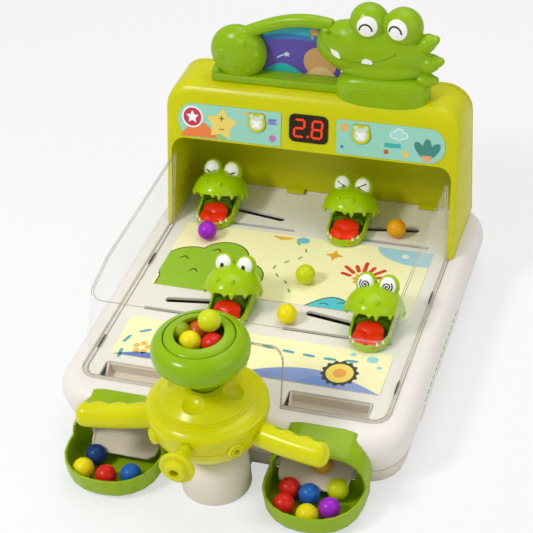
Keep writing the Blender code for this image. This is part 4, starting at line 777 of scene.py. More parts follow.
print_on_panel("blue_dot", [round_outline((0.0345, 0.1060), 0.0016)], (80, 110, 200))
cloud = [round_outline(place, radius) for place, radius in
         (((0.0860, 0.1235), 0.0038), ((0.0912, 0.1262), 0.0046), ((0.0965, 0.1238), 0.0036),
          ((0.0912, 0.1222), 0.0040))]
print_on_panel("cloud_outline", cloud, (250, 250, 250))
print_on_panel("cloud", [[centre + (p - centre) * 0.80 for p in lobe] for lobe, centre in
                         ((lobe, sum(lobe, Vector((0, 0))) / len(lobe)) for lobe in cloud)], (165, 222, 215), 2)
print_on_panel("teal_bar", [[(0.0770, 0.1150), (0.0935, 0.1150), (0.0935, 0.1106), (0.0770, 0.1106)]],
               (60, 180, 180))
print_on_panel("rust_dot", [round_outline((0.0790, 0.1058), 0.0026)], (200, 100, 60))
print_on_panel("yellow_star", [star_outline((0.0985, 0.1050), 0.0046, 5, 0.55)], (240, 205, 100))
leaves = []
for tilt in (-38, 0, 38):
    turn = Matrix.Rotation(radians(-tilt), 2)
    leaves.append([Vector((0.1195, 0.1035)) + turn @ Vector((p.x, p.y + 0.0100)) for p in
                   round_outline((0, 0), 0.0044, squeeze=2.2)])
print_on_panel("leaf_cluster", leaves, (70, 140, 130), 2)
print_on_panel("leaf_pot", [[(0.1145, 0.1062), (0.1245, 0.1062), (0.1230, 0.1005), (0.1160, 0.1005)]],
               (240, 165, 110), 3)

# Push buttons. Each is a lime rim with two bumps on top round a paler insert, sprung on a post
# behind the panel.

button_x = 0.0535
button_up = 0.1205
button_radius = 0.0095
button_top = 0.0026
button_ink = ink("button_insert", (206, 226, 214), 0.35)
button_mark = ink("button_mark", (250, 250, 246), 0.35)
for side, word in sides:
    node = word + "_button"
    dressed(node, lime, 0.0005, 3)
    centre = Vector((side * button_x, button_up))
    insert = [round_outline(centre, button_radius * 0.72)]
    insert += [round_outline(centre + Vector((bump * 0.0052, 0.0068)), 0.0020) for bump in (-1, 1)]
    rest(printed(node + "_insert", insert, on_face(button_top), button_ink, 0.00012), node, "print_mint")
    mark = [round_outline(centre + Vector((0, -0.0012)), 0.0030, squeeze=1.1)]
    mark += [round_outline(centre + Vector((bump * 0.0032, 0.0016)), 0.0013) for bump in (-1, 1)]
    mark += [round_outline(centre + Vector((bump * 0.0030, -0.0040)), 0.0013) for bump in (-1, 1)]
    rest(printed(node + "_mark", mark, on_face(button_top + 0.00012), button_mark, 0.0001), node, "print_mint")

# Score window. Dark smoked plastic in a lime bezel, with two seven-segment digits and a point lit
# in red behind it.

smoked = moulded("smoked_window", (42, 36, 18), roughness=0.16, drift=0.05, relief=0.00001)
dressed("display_window", smoked, 0.0003)
lit_red = moulded("lit_segment", (232, 58, 20), roughness=0.3, relief=0.00001)
lit_body = lit_red.node_tree.nodes["Principled BSDF"]
lit_body.inputs["Emission Color"].default_value = srgb(240, 52, 14)
lit_body.inputs["Emission Strength"].default_value = 0.35
digit_height = 0.0172
digit_width = 0.0098
segment_width = 0.0023
segment_gap = 0.0006
digit_slant = 0.07
window_up = 0.120
lit_segments = {"2": "abged", "8": "abcdefg"}
segment_ends = {"a": ((0, 1), (1, 1)), "b": ((1, 1), (1, 0.5)), "c": ((1, 0.5), (1, 0)), "d": ((0, 0), (1, 0)),
                "e": ((0, 0.5), (0, 0)), "f": ((0, 1), (0, 0.5)), "g": ((0, 0.5), (1, 0.5))}
bars = []
for figure, left in (("2", -0.0143), ("8", 0.0040)):
    for segment in lit_segments[figure]:
        ends = []
        for across, rise in segment_ends[segment]:
            y = (rise - 0.5) * digit_height
            ends.append(Vector((left + across * digit_width + y * digit_slant, window_up + y)))
        along = (ends[1] - ends[0]).normalized()
        across = Vector((-along.y, along.x)) * segment_width / 2
        start, end = ends[0] + along * segment_gap, ends[1] - along * segment_gap
        tip = along * segment_width / 2
        bars.append([start - tip * 0.4, start + across + tip * 0.6, end + across - tip * 0.6, end + tip * 0.4,
                     end - across - tip * 0.6, start - across + tip * 0.6][::-1])
bars.append(round_outline((-0.0004, window_up - digit_height / 2 + segment_gap), 0.0014))
window_face = 0.0
for vertex in nodes["display_window"].data.vertices:
    window_face = max(window_face, (vertex.co - face_foot).dot(face_out))
rest(printed("score_digits", bars, on_face(window_face), lit_red, 0.0001), "housing", "display_dark")

# Crest. A hollow green moulding in two halves: a long-snouted head with closed smiling eyes on a
# neck, a ball-ended tail arching over a printed panel, all fixed to a strip on the arch.

leaf = moulded("leaf_plastic", (142, 180, 10), roughness=0.25, drift=0.08)
eye_white = moulded("eye_white", (246, 246, 242), roughness=0.3, drift=0.02)
eye_line = ink("eye_line", (34, 32, 34), 0.35)
tooth_white = moulded("tooth_white", (244, 244, 236), roughness=0.3, drift=0.02)


def lump(shape, centre, semi_axes, across=40, up=20, turn=Matrix()):
    """Add an egg-shaped lump to a shape."""
    bmesh.ops.create_uvsphere(shape, u_segments=across, v_segments=up, radius=1.0,
                              matrix=Matrix.Translation(centre) @ turn @ Matrix.Diagonal((*semi_axes, 1.0)))


def add_shape(shape, other):
    """Take another shape into a shape."""
    spare = bpy.data.meshes.new("spare")
    other.to_mesh(spare)
    other.free()
    shape.from_mesh(spare)
    bpy.data.meshes.remove(spare)


def lofted(shape, rings):
    """Skin a shape over its rings of corners and close both ends."""
    count = len(rings[0])
    for ring, after in zip(rings, rings[1:]):
        for step in range(count):
            shape.faces.new([ring[step], ring[(step + 1) % count], after[(step + 1) % count], after[step]])
    shape.faces.new(rings[0][::-1])
    shape.faces.new(rings[-1])


def flowed(piece, voxel, rounds):
    """Run a piece's lumps into one skin with soft fillets, as a mould maker blends them."""
    remesh = piece.modifiers.new("one_skin", "REMESH")
    remesh.mode = "VOXEL"
    remesh.voxel_size = voxel
    soften = piece.modifiers.new("soft_fillets", "SMOOTH")
    soften.iterations = rounds
    return applied(piece)


def tube_along(shape, route, radius, sides=16):
    """Add a closed round bar along a route; the radius may vary from end to end."""
    rings = []
    for place, point in enumerate(route):
        ahead = route[min(place + 1, len(route) - 1)]
        behind = route[max(place - 1, 0)]
        heading = (ahead - behind).normalized()
        side = heading.cross(Vector((0, 1, 0)) if abs(heading.y) < 0.9 else Vector((0, 0, 1))).normalized()
        other = heading.cross(side)
        reach = radius[place] if isinstance(radius, list) else radius
        rings.append([shape.verts.new(point + side * reach * cos(2 * pi * step / sides)
                                      + other * reach * sin(2 * pi * step / sides)) for step in range(sides)])
    lofted(shape, rings)


crest_y = 0.1435
foot_shape = bmesh.new()
block(foot_shape, (-0.0300, crest_y - 0.0005, 0.2099), (0.1520, 0.0220, 0.0082))
uprights = [edge for edge in foot_shape.edges if abs(edge.verts[0].co.z - edge.verts[1].co.z) > 0.001]
bmesh.ops.bevel(foot_shape, geom=uprights, offset=0.0060, segments=6, affect="EDGES", profile=0.5)
neck_middle, neck_half, neck_square = Vector((0.0700, 0.1395, 0.2095)), Vector((0.0462, 0.0172, 0.0203)), 3.4
neck_shape = bmesh.new()
bmesh.ops.create_uvsphere(neck_shape, u_segments=72, v_segments=36, radius=1.0)
for vertex in neck_shape.verts:
    reach = sum(abs(part) ** neck_square for part in vertex.co) ** (1 / neck_square)
    vertex.co = neck_middle + Vector([part / reach * half for part, half in zip(vertex.co, neck_half)])
add_shape(foot_shape, neck_shape)
crest_foot = rest(flowed(closed("crest_base_moulded", foot_shape, leaf), 0.0009, 3), "housing", "leaf_plastic",
                  "crest_base")
skull = bmesh.new()
lump(skull, (0.061, crest_y, 0.251), (0.0555, 0.0170, 0.0295))
lump(skull, (0.040, crest_y, 0.2545), (0.0360, 0.0185, 0.0265))
lump(skull, (0.066, crest_y, 0.2345), (0.0440, 0.0180, 0.0140))
scutes = [(0.1150, 0.2635, 38), (0.1180, 0.2425, 22), (0.1120, 0.2235, 6)]
for x, z, tilt in scutes:
    scute_turn = Matrix.Rotation(radians(-tilt), 4, "Y")
    lump(skull, (x - 0.003, crest_y, z), (0.0115, 0.0100, 0.0090), 24, 12, scute_turn)
    tip = Vector((cos(radians(tilt)), 0, sin(radians(tilt))))
    lump(skull, Vector((x, crest_y, z)) + tip * 0.0052, (0.0072, 0.0062, 0.0048), 20, 10, scute_turn)
for x, z in ((0.0575, 0.2815), (0.0905, 0.2795)):
    lump(skull, (x, crest_y, z), (0.0192, 0.0168, 0.0192))
for x, z in ((0.0170, 0.2745), (0.0285, 0.2715)):
    lump(skull, (x, crest_y - 0.0125, z), (0.0036, 0.0030, 0.0024), 16, 8)
crest_head = flowed(closed("crest_head_moulded", skull, leaf), 0.0009, 6)

# the mouth is a groove pressed along the jaw line
mouth_route = [(0.0085, 0.2690), (0.0125, 0.2630), (0.0220, 0.2550), (0.0315, 0.2495), (0.0415, 0.2462),
               (0.0563, 0.2452), (0.0710, 0.2485), (0.0810, 0.2533), (0.0870, 0.2575)]


def along_curve(points, steps):
    """Smooth run through points."""
    line = [Vector(p) for p in points]
    found = []
    for place in range(len(line) - 1):
        before = line[max(place - 1, 0)]
        start, end = line[place], line[place + 1]
        after = line[min(place + 2, len(line) - 1)]
        for step in range(steps):
            t = step / steps
            found.append(0.5 * (2 * start + (end - before) * t + (2 * before - 5 * start + 4 * end - after) * t * t
                                + (3 * start - before - 3 * end + after) * t ** 3))
    found.append(line[-1])
    return found


def facing_player(y):
    """Placing for an outline drawn across and up, facing the player."""
    return Matrix.Translation((0, y, 0)) @ Matrix.Rotation(pi / 2, 4, "X")


def on_skin(skin, route, steps=5, start_y=crest_y - 0.08):
    """A route drawn across and up, dropped onto a skin that faces the player."""
    line = []
    for point in along_curve(route, steps):
        hit = skin.ray_cast(Vector((point.x, start_y, point.y)), Vector((0, 1, 0)))[0]
        if hit is not None:
            line.append(hit)
    return line


def make_beading():
    """Runs a round bead along a route."""
    tree, given = nodes_with("beading", [("Route", "Geometry"), ("Width", "Float"), ("Sides", "Int"),
                                         ("Finish", "Material")])
    line = put(tree, "GeometryNodeMeshToCurve", {"Mesh": given["Route"]}).outputs[0]
    half = put(tree, "Math", {0: given["Width"], 1: 0.5}, operation="MULTIPLY").outputs[0]
    around = put(tree, "GeometryNodeCurvePrimitiveCircle", {"Resolution": given["Sides"], "Radius": half}).outputs[0]
    rod = put(tree, "GeometryNodeCurveToMesh", {"Curve": line, "Profile Curve": around, "Fill Caps": True}).outputs[0]
    return end_with(tree, rod, given["Finish"])


beading = make_beading()


def bead(name, route, width, finish, sides=12):
    return laid_out(name, beading, route, {"Width": width, "Sides": sides, "Finish": finish}, route=True)


head_skin = tree_of(crest_head)


def on_crest(name, outlines, finish, proud, pitch=0.0012):
    """A raised mark that follows the crest's head."""
    rest(printed("crest_" + name, outlines, facing_player(crest_y - 0.03), finish, proud, head_skin, pitch),
         "housing", "leaf_plastic")


carve(crest_head, bead("mouth_groove", on_skin(head_skin, mouth_route), 0.0021, leaf))
rest(crest_head, "housing", "leaf_plastic", "crest_head")
for word, eye, smile_middle in (("left", (0.0590, 0.2842), (0.0578, 0.2803)),
                                ("right", (0.0880, 0.2832), (0.0862, 0.2803))):
    on_crest(word + "_eye", [round_outline(eye, 0.0098, 48)], eye_white, 0.0006)
    smile = [(smile_middle[0] + 0.0062 * cos(radians(angle)), smile_middle[1] + 0.0068 * sin(radians(angle)))
             for angle in range(4, 177, 10)]
    on_crest(word + "_smile", stroke(smile, 0.00155), eye_line, 0.00072, 0.0008)
for word, corners in (("left", [(0.0225, 0.2580), (0.0240, 0.2535), (0.0270, 0.2510), (0.0322, 0.2492),
                                (0.0318, 0.2535), (0.0290, 0.2565)]),
                      ("right", [(0.0525, 0.2462), (0.0560, 0.2455), (0.0635, 0.2458), (0.0628, 0.2490),
                                 (0.0585, 0.2508), (0.0545, 0.2498)])):
    ring = along_curve(corners + corners[:1], 4)[:-1]
    ring = ring if sum(a.x * b.y - b.x * a.y for a, b in zip(ring, ring[1:] + ring[:1])) > 0 else ring[::-1]
    on_crest(word + "_tooth", [ring], tooth_white, 0.0010, 0.0010)

tail = bmesh.new()
bulb = Vector((-0.077, crest_y, 0.2355))
bulb_reach, bulb_depth = 0.0288, 0.0175
lump(tail, bulb, (bulb_reach, bulb_depth, bulb_reach))
band_start, band_end, band_foot, band_rise, band_arc, band_radius = -0.0683, 0.0205, 0.25725, 0.0191, pi * 0.68, 0.0066
band_steps = 24
band = [Vector((band_start + (band_end - band_start) * step / band_steps, crest_y,
                band_foot + band_rise * sin(band_arc * step / band_steps))) for step in range(band_steps + 1)]
tube_along(tail, band, band_radius, 24)
for x, z, reach in ((-0.0682, 0.2510, 0.0046), (-0.0550, 0.2392, 0.0034), (-0.0889, 0.2388, 0.0060),
                    (-0.0763, 0.2290, 0.0026), (-0.0640, 0.2235, 0.0022)):
    offset = Vector((x, 0, z)) - Vector((bulb.x, 0, bulb.z))
    depth = sqrt(max(1 - (offset.x / bulb_reach) ** 2 - (offset.z / bulb_reach) ** 2, 0.05)) * bulb_depth
    lump(tail, (x, crest_y - depth + 0.0010, z), (reach, 0.0024, reach), 24, 12)
rest(flowed(closed("crest_tail_moulded", tail, leaf), 0.0008, 3), "housing", "leaf_plastic", "crest_tail")
for word, drop in (("upper", 0.0030), ("middle", 0.0), ("lower", -0.0030)):
    route = [point + Vector((0, -sqrt(band_radius ** 2 - drop ** 2) + 0.0002, drop)) for point in band[3:]]
    rest(bead("band_ridge_" + word, route, 0.0009, leaf, 8), "housing", "leaf_plastic")

base_skin = tree_of(crest_foot)
rest(bead("belly_ridge", on_skin(base_skin, [(0.0385, 0.2090), (0.0482, 0.2172), (0.0661, 0.2198), (0.0857, 0.2160),
                                            (0.0965, 0.2088)]), 0.0013, leaf), "housing", "leaf_plastic")
hump = bmesh.new()
lump(hump, (-0.1000, crest_y, 0.2120), (0.0062, 0.0092, 0.0085), 28, 14)
rest(to_piece("strip_end_hump", hump, leaf), "housing", "leaf_plastic")

violet = moulded("violet_print", (96, 78, 168), roughness=0.4, drift=0.05, relief=0.00002)
board_low, board_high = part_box("crest_backdrop")
board_thick = board_high.y - board_low.y
board_high = Vector((0.0245, board_low.y, board_high.z))
board_low = Vector((-0.0560, board_low.y - 0.0020, board_low.z))
board_run, board_gap = 0.0903, 0.0052


def print_on_board(name, outlines, colour, layer=1):
    return inked(name, outlines, colour, facing_player(board_low.y - over(layer)), "print_violet")


def board_top(x):
    """Where the board's top edge lies under the band."""
    share = min(max((x - band_start) / board_run, 0.0), 1.0)
    return band_foot + band_rise * sin(band_arc * share) - board_gap


board_edge = [Vector((board_low.x + (board_high.x - board_low.x) * step / 30, 0)) for step in range(31)]
board_outline = [Vector((board_low.x, board_low.z)), Vector((board_high.x, board_low.z))]
board_outline += [Vector((point.x, board_top(point.x))) for point in board_edge[::-1]]
rest(printed("crest_backdrop_moulded", [board_outline], facing_player(board_high.y), violet, board_thick), "housing",
     "print_violet", "crest_backdrop")


def sky_band(low_left, low_right, sag, points=24):
    """Wavy band from a lower edge up to the board's curved top."""
    left, right = board_low.x + 0.004, board_high.x - 0.001
    across = [left + (right - left) * step / points for step in range(points + 1)]
    lower = [Vector((x, low_left + (low_right - low_left) * step / points + sag * sin(pi * 2 * step / points)))
             for step, x in enumerate(across)]
    upper = [Vector((x, max(board_top(x), low.y + 0.0004))) for x, low in zip(across, lower)]
    return lower + upper[::-1]


print_on_board("sky_blue", [sky_band(0.2470, 0.2560, 0.0020)], (60, 120, 190))
print_on_board("sky_teal", [sky_band(0.2520, 0.2625, 0.0026)], (60, 178, 190), 2)
print_on_board("sky_pale", [[(0.0060, 0.2600), (0.0195, 0.2560), (0.0195, 0.2660), (0.0060, 0.2680)]],
               (205, 225, 225), 3)
print_on_board("sea", [hill(-0.0535, -0.0145, board_low.z + 0.0002, 0.0095)], (45, 182, 180))
sand_middle, sand_reach = Vector((0.0045, 0.2282)), 0.0168
print_on_board("sand_disc", [kept_in(round_outline(sand_middle, sand_reach), board_low.x + 0.0004,
                                     board_high.x - 0.0006, board_low.z + 0.0003, board_high.z)], (206, 160, 105), 3)
print_on_board("sand_wave", [kept_in(hill(-0.0105, 0.0200, board_low.z + 0.0004, 0.0098), board_low.x,
                                     board_high.x - 0.0008, 0, 1)], (228, 190, 138), 4)
print_on_board("orange_dot", [round_outline((0.0005, 0.2615), 0.0036), round_outline((-0.0019, 0.2552), 0.0014)],
               (240, 160, 50), 3)
print_on_board("small_comet", stroke([(-0.039, 0.2300), (-0.0350, 0.2325), (-0.0315, 0.2338)], 0.0013)
               + [star_outline((-0.0290, 0.2345), 0.0036, 5, 0.5)], (190, 215, 235), 2)

# Guard. One clear moulding round the field, drafted so that it lifts off, with a gap for the
# barrel. Light gathers in the sheet and shows as a bright line along each rim; that line is a painted
# highlight, a fine pale bar laid along each rim.


def clear_sheet(name, colour, face_on, edge_on):
    """Clear plastic drawn as a white layer that grows more solid where it is seen edge on: painted sheen standing in
    for the glare the sheet reflects there, over a faint haze of its own.
    """
    material = bpy.data.materials.new(name)
    material.use_nodes = True
    tree = material.node_tree
    body = tree.nodes["Principled BSDF"]
    body.inputs["Base Color"].default_value = colour
    body.inputs["IOR"].default_value = 1.45
    body.inputs["Specular IOR Level"].default_value = 0.3
    body.inputs["Transmission Weight"].default_value = 0.0
    place = put(tree, "TexCoord").outputs["Object"]
    haze = put(tree, "TexNoise", {"Vector": place, "Scale": 60.0, "Detail": 4.0}).outputs["Fac"]
    haze_range = put(tree, "MapRange", {"Value": haze, 1: 0.3, 2: 0.8, 3: 0.05, 4: 0.12})
    tree.links.new(haze_range.outputs[0], body.inputs["Roughness"])
    # painted sheen: white coverage rises from face_on to edge_on towards grazing view, where the real sheet reflects
    # the bright room; the noise haze added below is the sheet's own
    slant = put(tree, "LayerWeight", {"Blend": 0.5}).outputs["Facing"]
    haze_and_edge_sheen = put(tree, "MapRange", {"Value": slant, 1: 0.55, 2: 1.0, 3: face_on, 4: edge_on}).outputs[0]
    marks = put(tree, "Math", {0: haze, 1: 0.03, 2: haze_and_edge_sheen}, operation="MULTIPLY_ADD").outputs[0]
    rays = put(tree, "LightPath")
    shade = put(tree, "Math", {0: rays.outputs["Is Shadow Ray"], 1: -0.90, 2: 1.0}, operation="MULTIPLY_ADD").outputs[0]
    alpha = put(tree, "Math", {0: marks, 1: shade}, operation="MULTIPLY").outputs[0]
    tree.links.new(alpha, body.inputs["Alpha"])
    return material


clear = clear_sheet("clear_sheet", (0.95, 0.95, 0.94, 1.0), 0.012, 0.20)
# painted highlight: a pale, nearly opaque finish for the bars that stand in for light gathered at the guard's rims
painted_rim_glint = clear_sheet("clear_rim_painted_glint", srgb(196, 188, 170), 0.72, 0.92)
rim_radius, rim_angle, shortest_rim = 0.00042, radians(50), 0.002
dressed("clear_guard", clear, 0.0002, 1)
# painted highlight: a fine tube along every sharp rim of the guard, in the pale glint finish
rims = bmesh.new()
guard_shape = joined_up("clear_guard")
for edge in guard_shape.edges:
    if len(edge.link_faces) == 2 and edge.calc_face_angle() > rim_angle and edge.calc_length() > shortest_rim:
        tube_along(rims, [edge.verts[0].co.copy(), edge.verts[1].co.copy()], rim_radius, 8)
guard_shape.free()
rest(to_piece("guard_rims", rims, painted_rim_glint), "housing", "clear_plastic")
# The guard's clip slots are dark flat dashes on the deck: painted shade standing in for the shadowed insides of the
# holes.
slot_painted_shade = moulded("slot_painted_shade", (48, 42, 36), roughness=0.6)
deck_top = 0.0573
for side, word in sides:
    route = [(side * 0.1432, y, deck_top + 0.0021) for y in (-0.1118, 0.0205)]
    rest(laid_out(word + "_clip_slots", strung, route, {"Pattern": dash, "Count": 2, "Length": 0.0190, "Width": 0.0016,
                                                        "Height": 0.0006, "Finish": slot_painted_shade}, route=True),
         "housing", "motor_grey")

# Shooter stand. A cream pedestal carries a green feed tube, and the hopper on top of it is a round
# bowl with a snap-in ring.

hopper_green = moulded("hopper_plastic", (142, 182, 6), roughness=0.18, drift=0.08)
turret_centre = Vector((0, -0.206, 0))
stand_outside = [(0.0, 0.0215), (0.0132, 0.0215), (0.0132, 0.0420), (0.0170, 0.0422)]
stand_outside += along_curve([(0.0170, 0.0422), (0.0225, 0.0402), (0.0270, 0.0368), (0.0299, 0.0328),
                                                (0.0312, 0.0285)], 5)[1:]
stand_outside += [(0.0315, 0.0240), (0.0315, 0.0012), (0.0311, 0.0002), (0.0306, 0.0), (0.0292, 0.0), (0.0286, 0.0006),
                  (0.0286, 0.0275), (0.0220, 0.0296), (0.0162, 0.0296), (0.0162, 0.0195), (0.0, 0.0195)]
web = bmesh.new()
block(web, (0, -0.1842, 0.0165), (0.048, 0.0150, 0.0305))
bmesh.ops.bevel(web, geom=web.edges[:], offset=0.0012, segments=3, affect="EDGES", profile=0.5)
stand = bmesh.new()
stand.from_mesh(turned("stand", stand_outside, cream_shell, turret_centre).data)
add_shape(stand, web)
rest(to_piece("pedestal_moulded", stand, cream_shell), "housing", "cream_plastic", "pedestal")
tube_profile = [(0.0, 0.0765), (0.0106, 0.0765), (0.0106, 0.0220), (0.0130, 0.0220), (0.0130, 0.0462),
                (0.0152, 0.0468), (0.0163, 0.0478), (0.0165, 0.0488), (0.0162, 0.0495), (0.0152, 0.0498),
                (0.0130, 0.0498), (0.0130, 0.1380), (0.0126, 0.1385), (0.0110, 0.1385), (0.0106, 0.1381),
                (0.0106, 0.0800), (0.0, 0.0800)]
feed = turned("feed_tube_moulded", tube_profile, leaf, turret_centre, 64)
window = bmesh.new()
block(window, turret_centre + Vector((0, 0, 0.0904)), (0.021, 0.052, 0.0208))
hopper_outside = along_curve([(0.0322, 0.1704), (0.0378, 0.1672), (0.0414, 0.1623), (0.0425, 0.1562), (0.0411, 0.1492),
                              (0.0366, 0.1428), (0.0296, 0.1381), (0.0200, 0.1351)], 5)
hopper_inside = along_curve([(0.0225, 0.1430), (0.0336, 0.1481), (0.0380, 0.1534), (0.0400, 0.1580), (0.0391, 0.1630),
                             (0.0349, 0.1660), (0.0312, 0.1663)], 4)
bowl = turned("hopper_bowl_moulded", hopper_outside + [(0.0136, 0.1352), (0.0136, 0.1412)]
              + hopper_inside + [(0.0312, 0.1701)], hopper_green, turret_centre)
rest(ease(bowl, 0.0004), "housing", "hopper_plastic", "hopper_bowl")
ring_profile = [(0.0214, 0.1727), (0.0219, 0.1733), (0.0229, 0.1735), (0.0262, 0.1724), (0.0292, 0.1709),
                (0.0303, 0.1700), (0.0305, 0.1690), (0.0305, 0.1684), (0.0212, 0.1684)]
rest(turned("hopper_ring_moulded", ring_profile, hopper_green, turret_centre), "housing", "lime_plastic", "hopper_ring")

carve(feed, to_piece("shot_window", window, leaf))
rest(feed, "housing", "leaf_plastic", "feed_tube")

# Turret. Two glossy yellow shells meet at a belt line and turn about the feed tube. The upper one
# is dished where fingers would rest, and four bosses round the belt take its screws.

turret_yellow = moulded("turret_plastic", (214, 212, 2), roughness=0.22, drift=0.06)
upper_outside = along_curve([(0.0142, 0.1179), (0.0195, 0.1175), (0.0262, 0.1153), (0.0332, 0.1115),
                                               (0.0392, 0.1072)], 5)
upper_outside += [(0.0401, 0.1066), (0.0404, 0.1060), (0.0404, 0.1050), (0.0416, 0.1047), (0.0420, 0.1041),
                  (0.0421, 0.1032)]
upper_outside += along_curve([(0.0432, 0.1030), (0.0485, 0.1009), (0.0517, 0.0982)], 5)
upper_outside += [(0.0522, 0.0974), (0.0531, 0.0972), (0.0536, 0.0962), (0.0538, 0.0930), (0.0537, 0.0890),
                  (0.0532, 0.0867), (0.0526, 0.0862), (0.0524, 0.0850), (0.0520, 0.0820), (0.0518, 0.0804)]
upper_inside = [(0.0486, 0.0804), (0.0492, 0.0860), (0.0496, 0.0940), (0.0470, 0.0972), (0.0400, 0.1008),
                (0.0330, 0.1068), (0.0240, 0.1112), (0.0142, 0.1135)]
upper = turned("turret_upper_moulded", upper_outside + upper_inside, turret_yellow, turret_centre, 144)
dish_reach, dish_depth, dish_out = 0.0108, 0.0040, 0.0257
dish_ball = (dish_reach ** 2 + dish_depth ** 2) / (2 * dish_depth)
dish_tilt = radians(27)
dishes = bmesh.new()
for angle in (-94, -4, 86, 176):
    out = Vector((cos(radians(angle)), sin(radians(angle)), 0))
    normal = out * sin(dish_tilt) + Vector((0, 0, cos(dish_tilt)))
    spot = turret_centre + out * dish_out + Vector((0, 0, 0.1155))
    lump(dishes, spot + normal * (dish_ball - dish_depth), (dish_ball, dish_ball, dish_ball), 96, 64)
carve(upper, to_piece("dishes", dishes, turret_yellow))


def along_y(radius, start, end, height, sides=48):
    """A round bar along y, to bore with."""
    shape = bmesh.new()
    bmesh.ops.create_cone(shape, cap_ends=True, segments=sides, radius1=radius, radius2=radius, depth=end - start,
                          matrix=Matrix.Translation((0, (start + end) / 2, height)) @ Matrix.Rotation(pi / 2, 4, "X"))
    return to_piece("bore", shape, turret_yellow)


shot_height = 0.090
barrel_bore = (0.0149, -0.198, -0.140)
plunger_bore = (0.0051, -0.270, -0.214)
for bore in (barrel_bore, plunger_bore):
    carve(upper, along_y(*bore, shot_height))
rest(ease(upper, 0.0003), "turret", "turret_plastic", "turret_upper")
lower_outside = along_curve([(0.0516, 0.0799), (0.0503, 0.0742), (0.0471, 0.0683), (0.0420, 0.0616),
                                               (0.0362, 0.0566)], 5)
lower_outside += [(0.0352, 0.0560), (0.0346, 0.0550), (0.0342, 0.0536), (0.0332, 0.0529), (0.0300, 0.0520),
                  (0.0241, 0.0509), (0.0142, 0.0503)]
lower_inside = [(0.0142, 0.0530), (0.0240, 0.0536), (0.0318, 0.0558), (0.0335, 0.0590), (0.0392, 0.0640),
                (0.0440, 0.0700), (0.0470, 0.0750), (0.0484, 0.0799)]
lower = turned("turret_lower_moulded", lower_outside + lower_inside, turret_yellow, turret_centre, 144)
carve(lower, along_y(*barrel_bore, shot_height))
rest(ease(lower, 0.0003), "turret", "turret_plastic", "turret_lower")
boss = turned("boss_pattern", [(0.0, 0.50), (0.34, 0.50), (0.38, 0.96), (0.46, 1.0), (0.56, 0.97), (0.61, 0.84),
                              (0.67, 0.84), (0.73, 0.94), (0.86, 0.88), (0.96, 0.74), (1.0, 0.50), (1.0, 0.0),
                              (0.0, 0.0)], turret_yellow, steps=48)
boss_angles = [radians(a) for a in (-45, -135, 45, 135)]
boss_outward = [Vector((cos(a), sin(a), 0)) for a in boss_angles]
boss_turns = [tuple(out.to_track_quat("Z", "Y").to_euler()) for out in boss_outward]
boss_centre = turret_centre + Vector((0, 0, 0.0810))
rest(laid_out("turret_bosses", set_out, [boss_centre + out * 0.0468 for out in boss_outward],
              {"Pattern": boss, "Width": 0.0076, "Height": 0.0092, "Finish": turret_yellow}, boss_turns),
     "turret", "turret_plastic")
bpy.data.objects.remove(boss)
screws("boss_screws", [boss_centre + out * 0.0513 for out in boss_outward], boss_turns, 0.0024, 0.0012, "turret")
dressed("barrel", turret_yellow, 0.0006, 3)
plunger_profile = [(0.0, 0.0125), (0.0035, 0.0125), (0.0035, 0.0185), (0.0080, 0.0185), (0.0085, 0.0190),
                   (0.0085, 0.0220), (0.0080, 0.0225), (0.0045, 0.0225), (0.0045, 0.0552), (0.0058, 0.0555),
                   (0.0062, 0.0564), (0.0062, 0.0738), (0.0140, 0.0743), (0.0150, 0.0748), (0.0155, 0.0757),
                   (0.0155, 0.0781), (0.0150, 0.0791), (0.0138, 0.0796), (0.0122, 0.0793), (0.0104, 0.0792),
                   (0.0098, 0.0797), (0.0094, 0.0808), (0.0089, 0.0838), (0.0083, 0.0847), (0.0074, 0.0850),
                   (0.0047, 0.0850), (0.0041, 0.0845), (0.0040, 0.0780), (0.0, 0.0780)]
plunger = turned("plunger_moulded", plunger_profile, turret_yellow, steps=96)
plunger.data.transform(Matrix.Translation(turret_centre + Vector((0, 0, shot_height)))
                       @ Matrix.Rotation(pi / 2, 4, "X"))
rest(ease(plunger, 0.0002), "plunger", "turret_plastic", "plunger")
spring_steel = moulded("spring_steel", (190, 190, 195), roughness=0.25, Metallic=1.0)
spring = dressed("plunger_spring", spring_steel, 0)
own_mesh(spring)

# Handles. Each is a yellow half whose back edge is scalloped for three fingers, closed behind by a
# green half that shows through the scallops.

grip_z = 0.079
grip_radius = 0.0118
grip_root = 0.044
grip_reach = 0.115


def grip(side, name, body_radius, wanted, finish):
    """A handle half lofted along its sweep; what is wanted of each section is kept by depth."""
    shape = bmesh.new()
    rings = []
    rows = 64
    around = 40
    for row in range(rows + 1):
        share = 1 - (1 - row / rows) ** 1.6
        x = side * (grip_root + (grip_reach - grip_root) * share)
        y = -0.206 - 0.0088 - 0.016 * share * (1.4 - 0.5 * share)
        near_tip = max(0.0, (share - 0.86) / 0.14)
        reach = body_radius * max(sqrt(max(1 - near_tip ** 2.2, 0.0)), 0.03)
        ring = []
        for step in range(around):
            angle = side * 2 * pi * step / around
            low, high = wanted(share)
            depth = min(max(cos(angle) * reach, low), high)
            ring.append(shape.verts.new((x, y + depth, grip_z + sin(angle) * reach)))
        rings.append(ring)
    lofted(shape, rings)
    bmesh.ops.remove_doubles(shape, verts=shape.verts, dist=0.00002)
    return closed(name, shape, finish)


def scalloped(share):
    """How far back the yellow half reaches, drawn in for three fingers."""
    wave = sin(pi * 3 * min(max((share - 0.22) / 0.74, 0.0), 1.0)) ** 2
    return -1.0, 0.0068 - 0.0050 * wave


def behind(share):
    """The green half: all that lies behind the handle's middle."""
    return -0.0005, 1.0


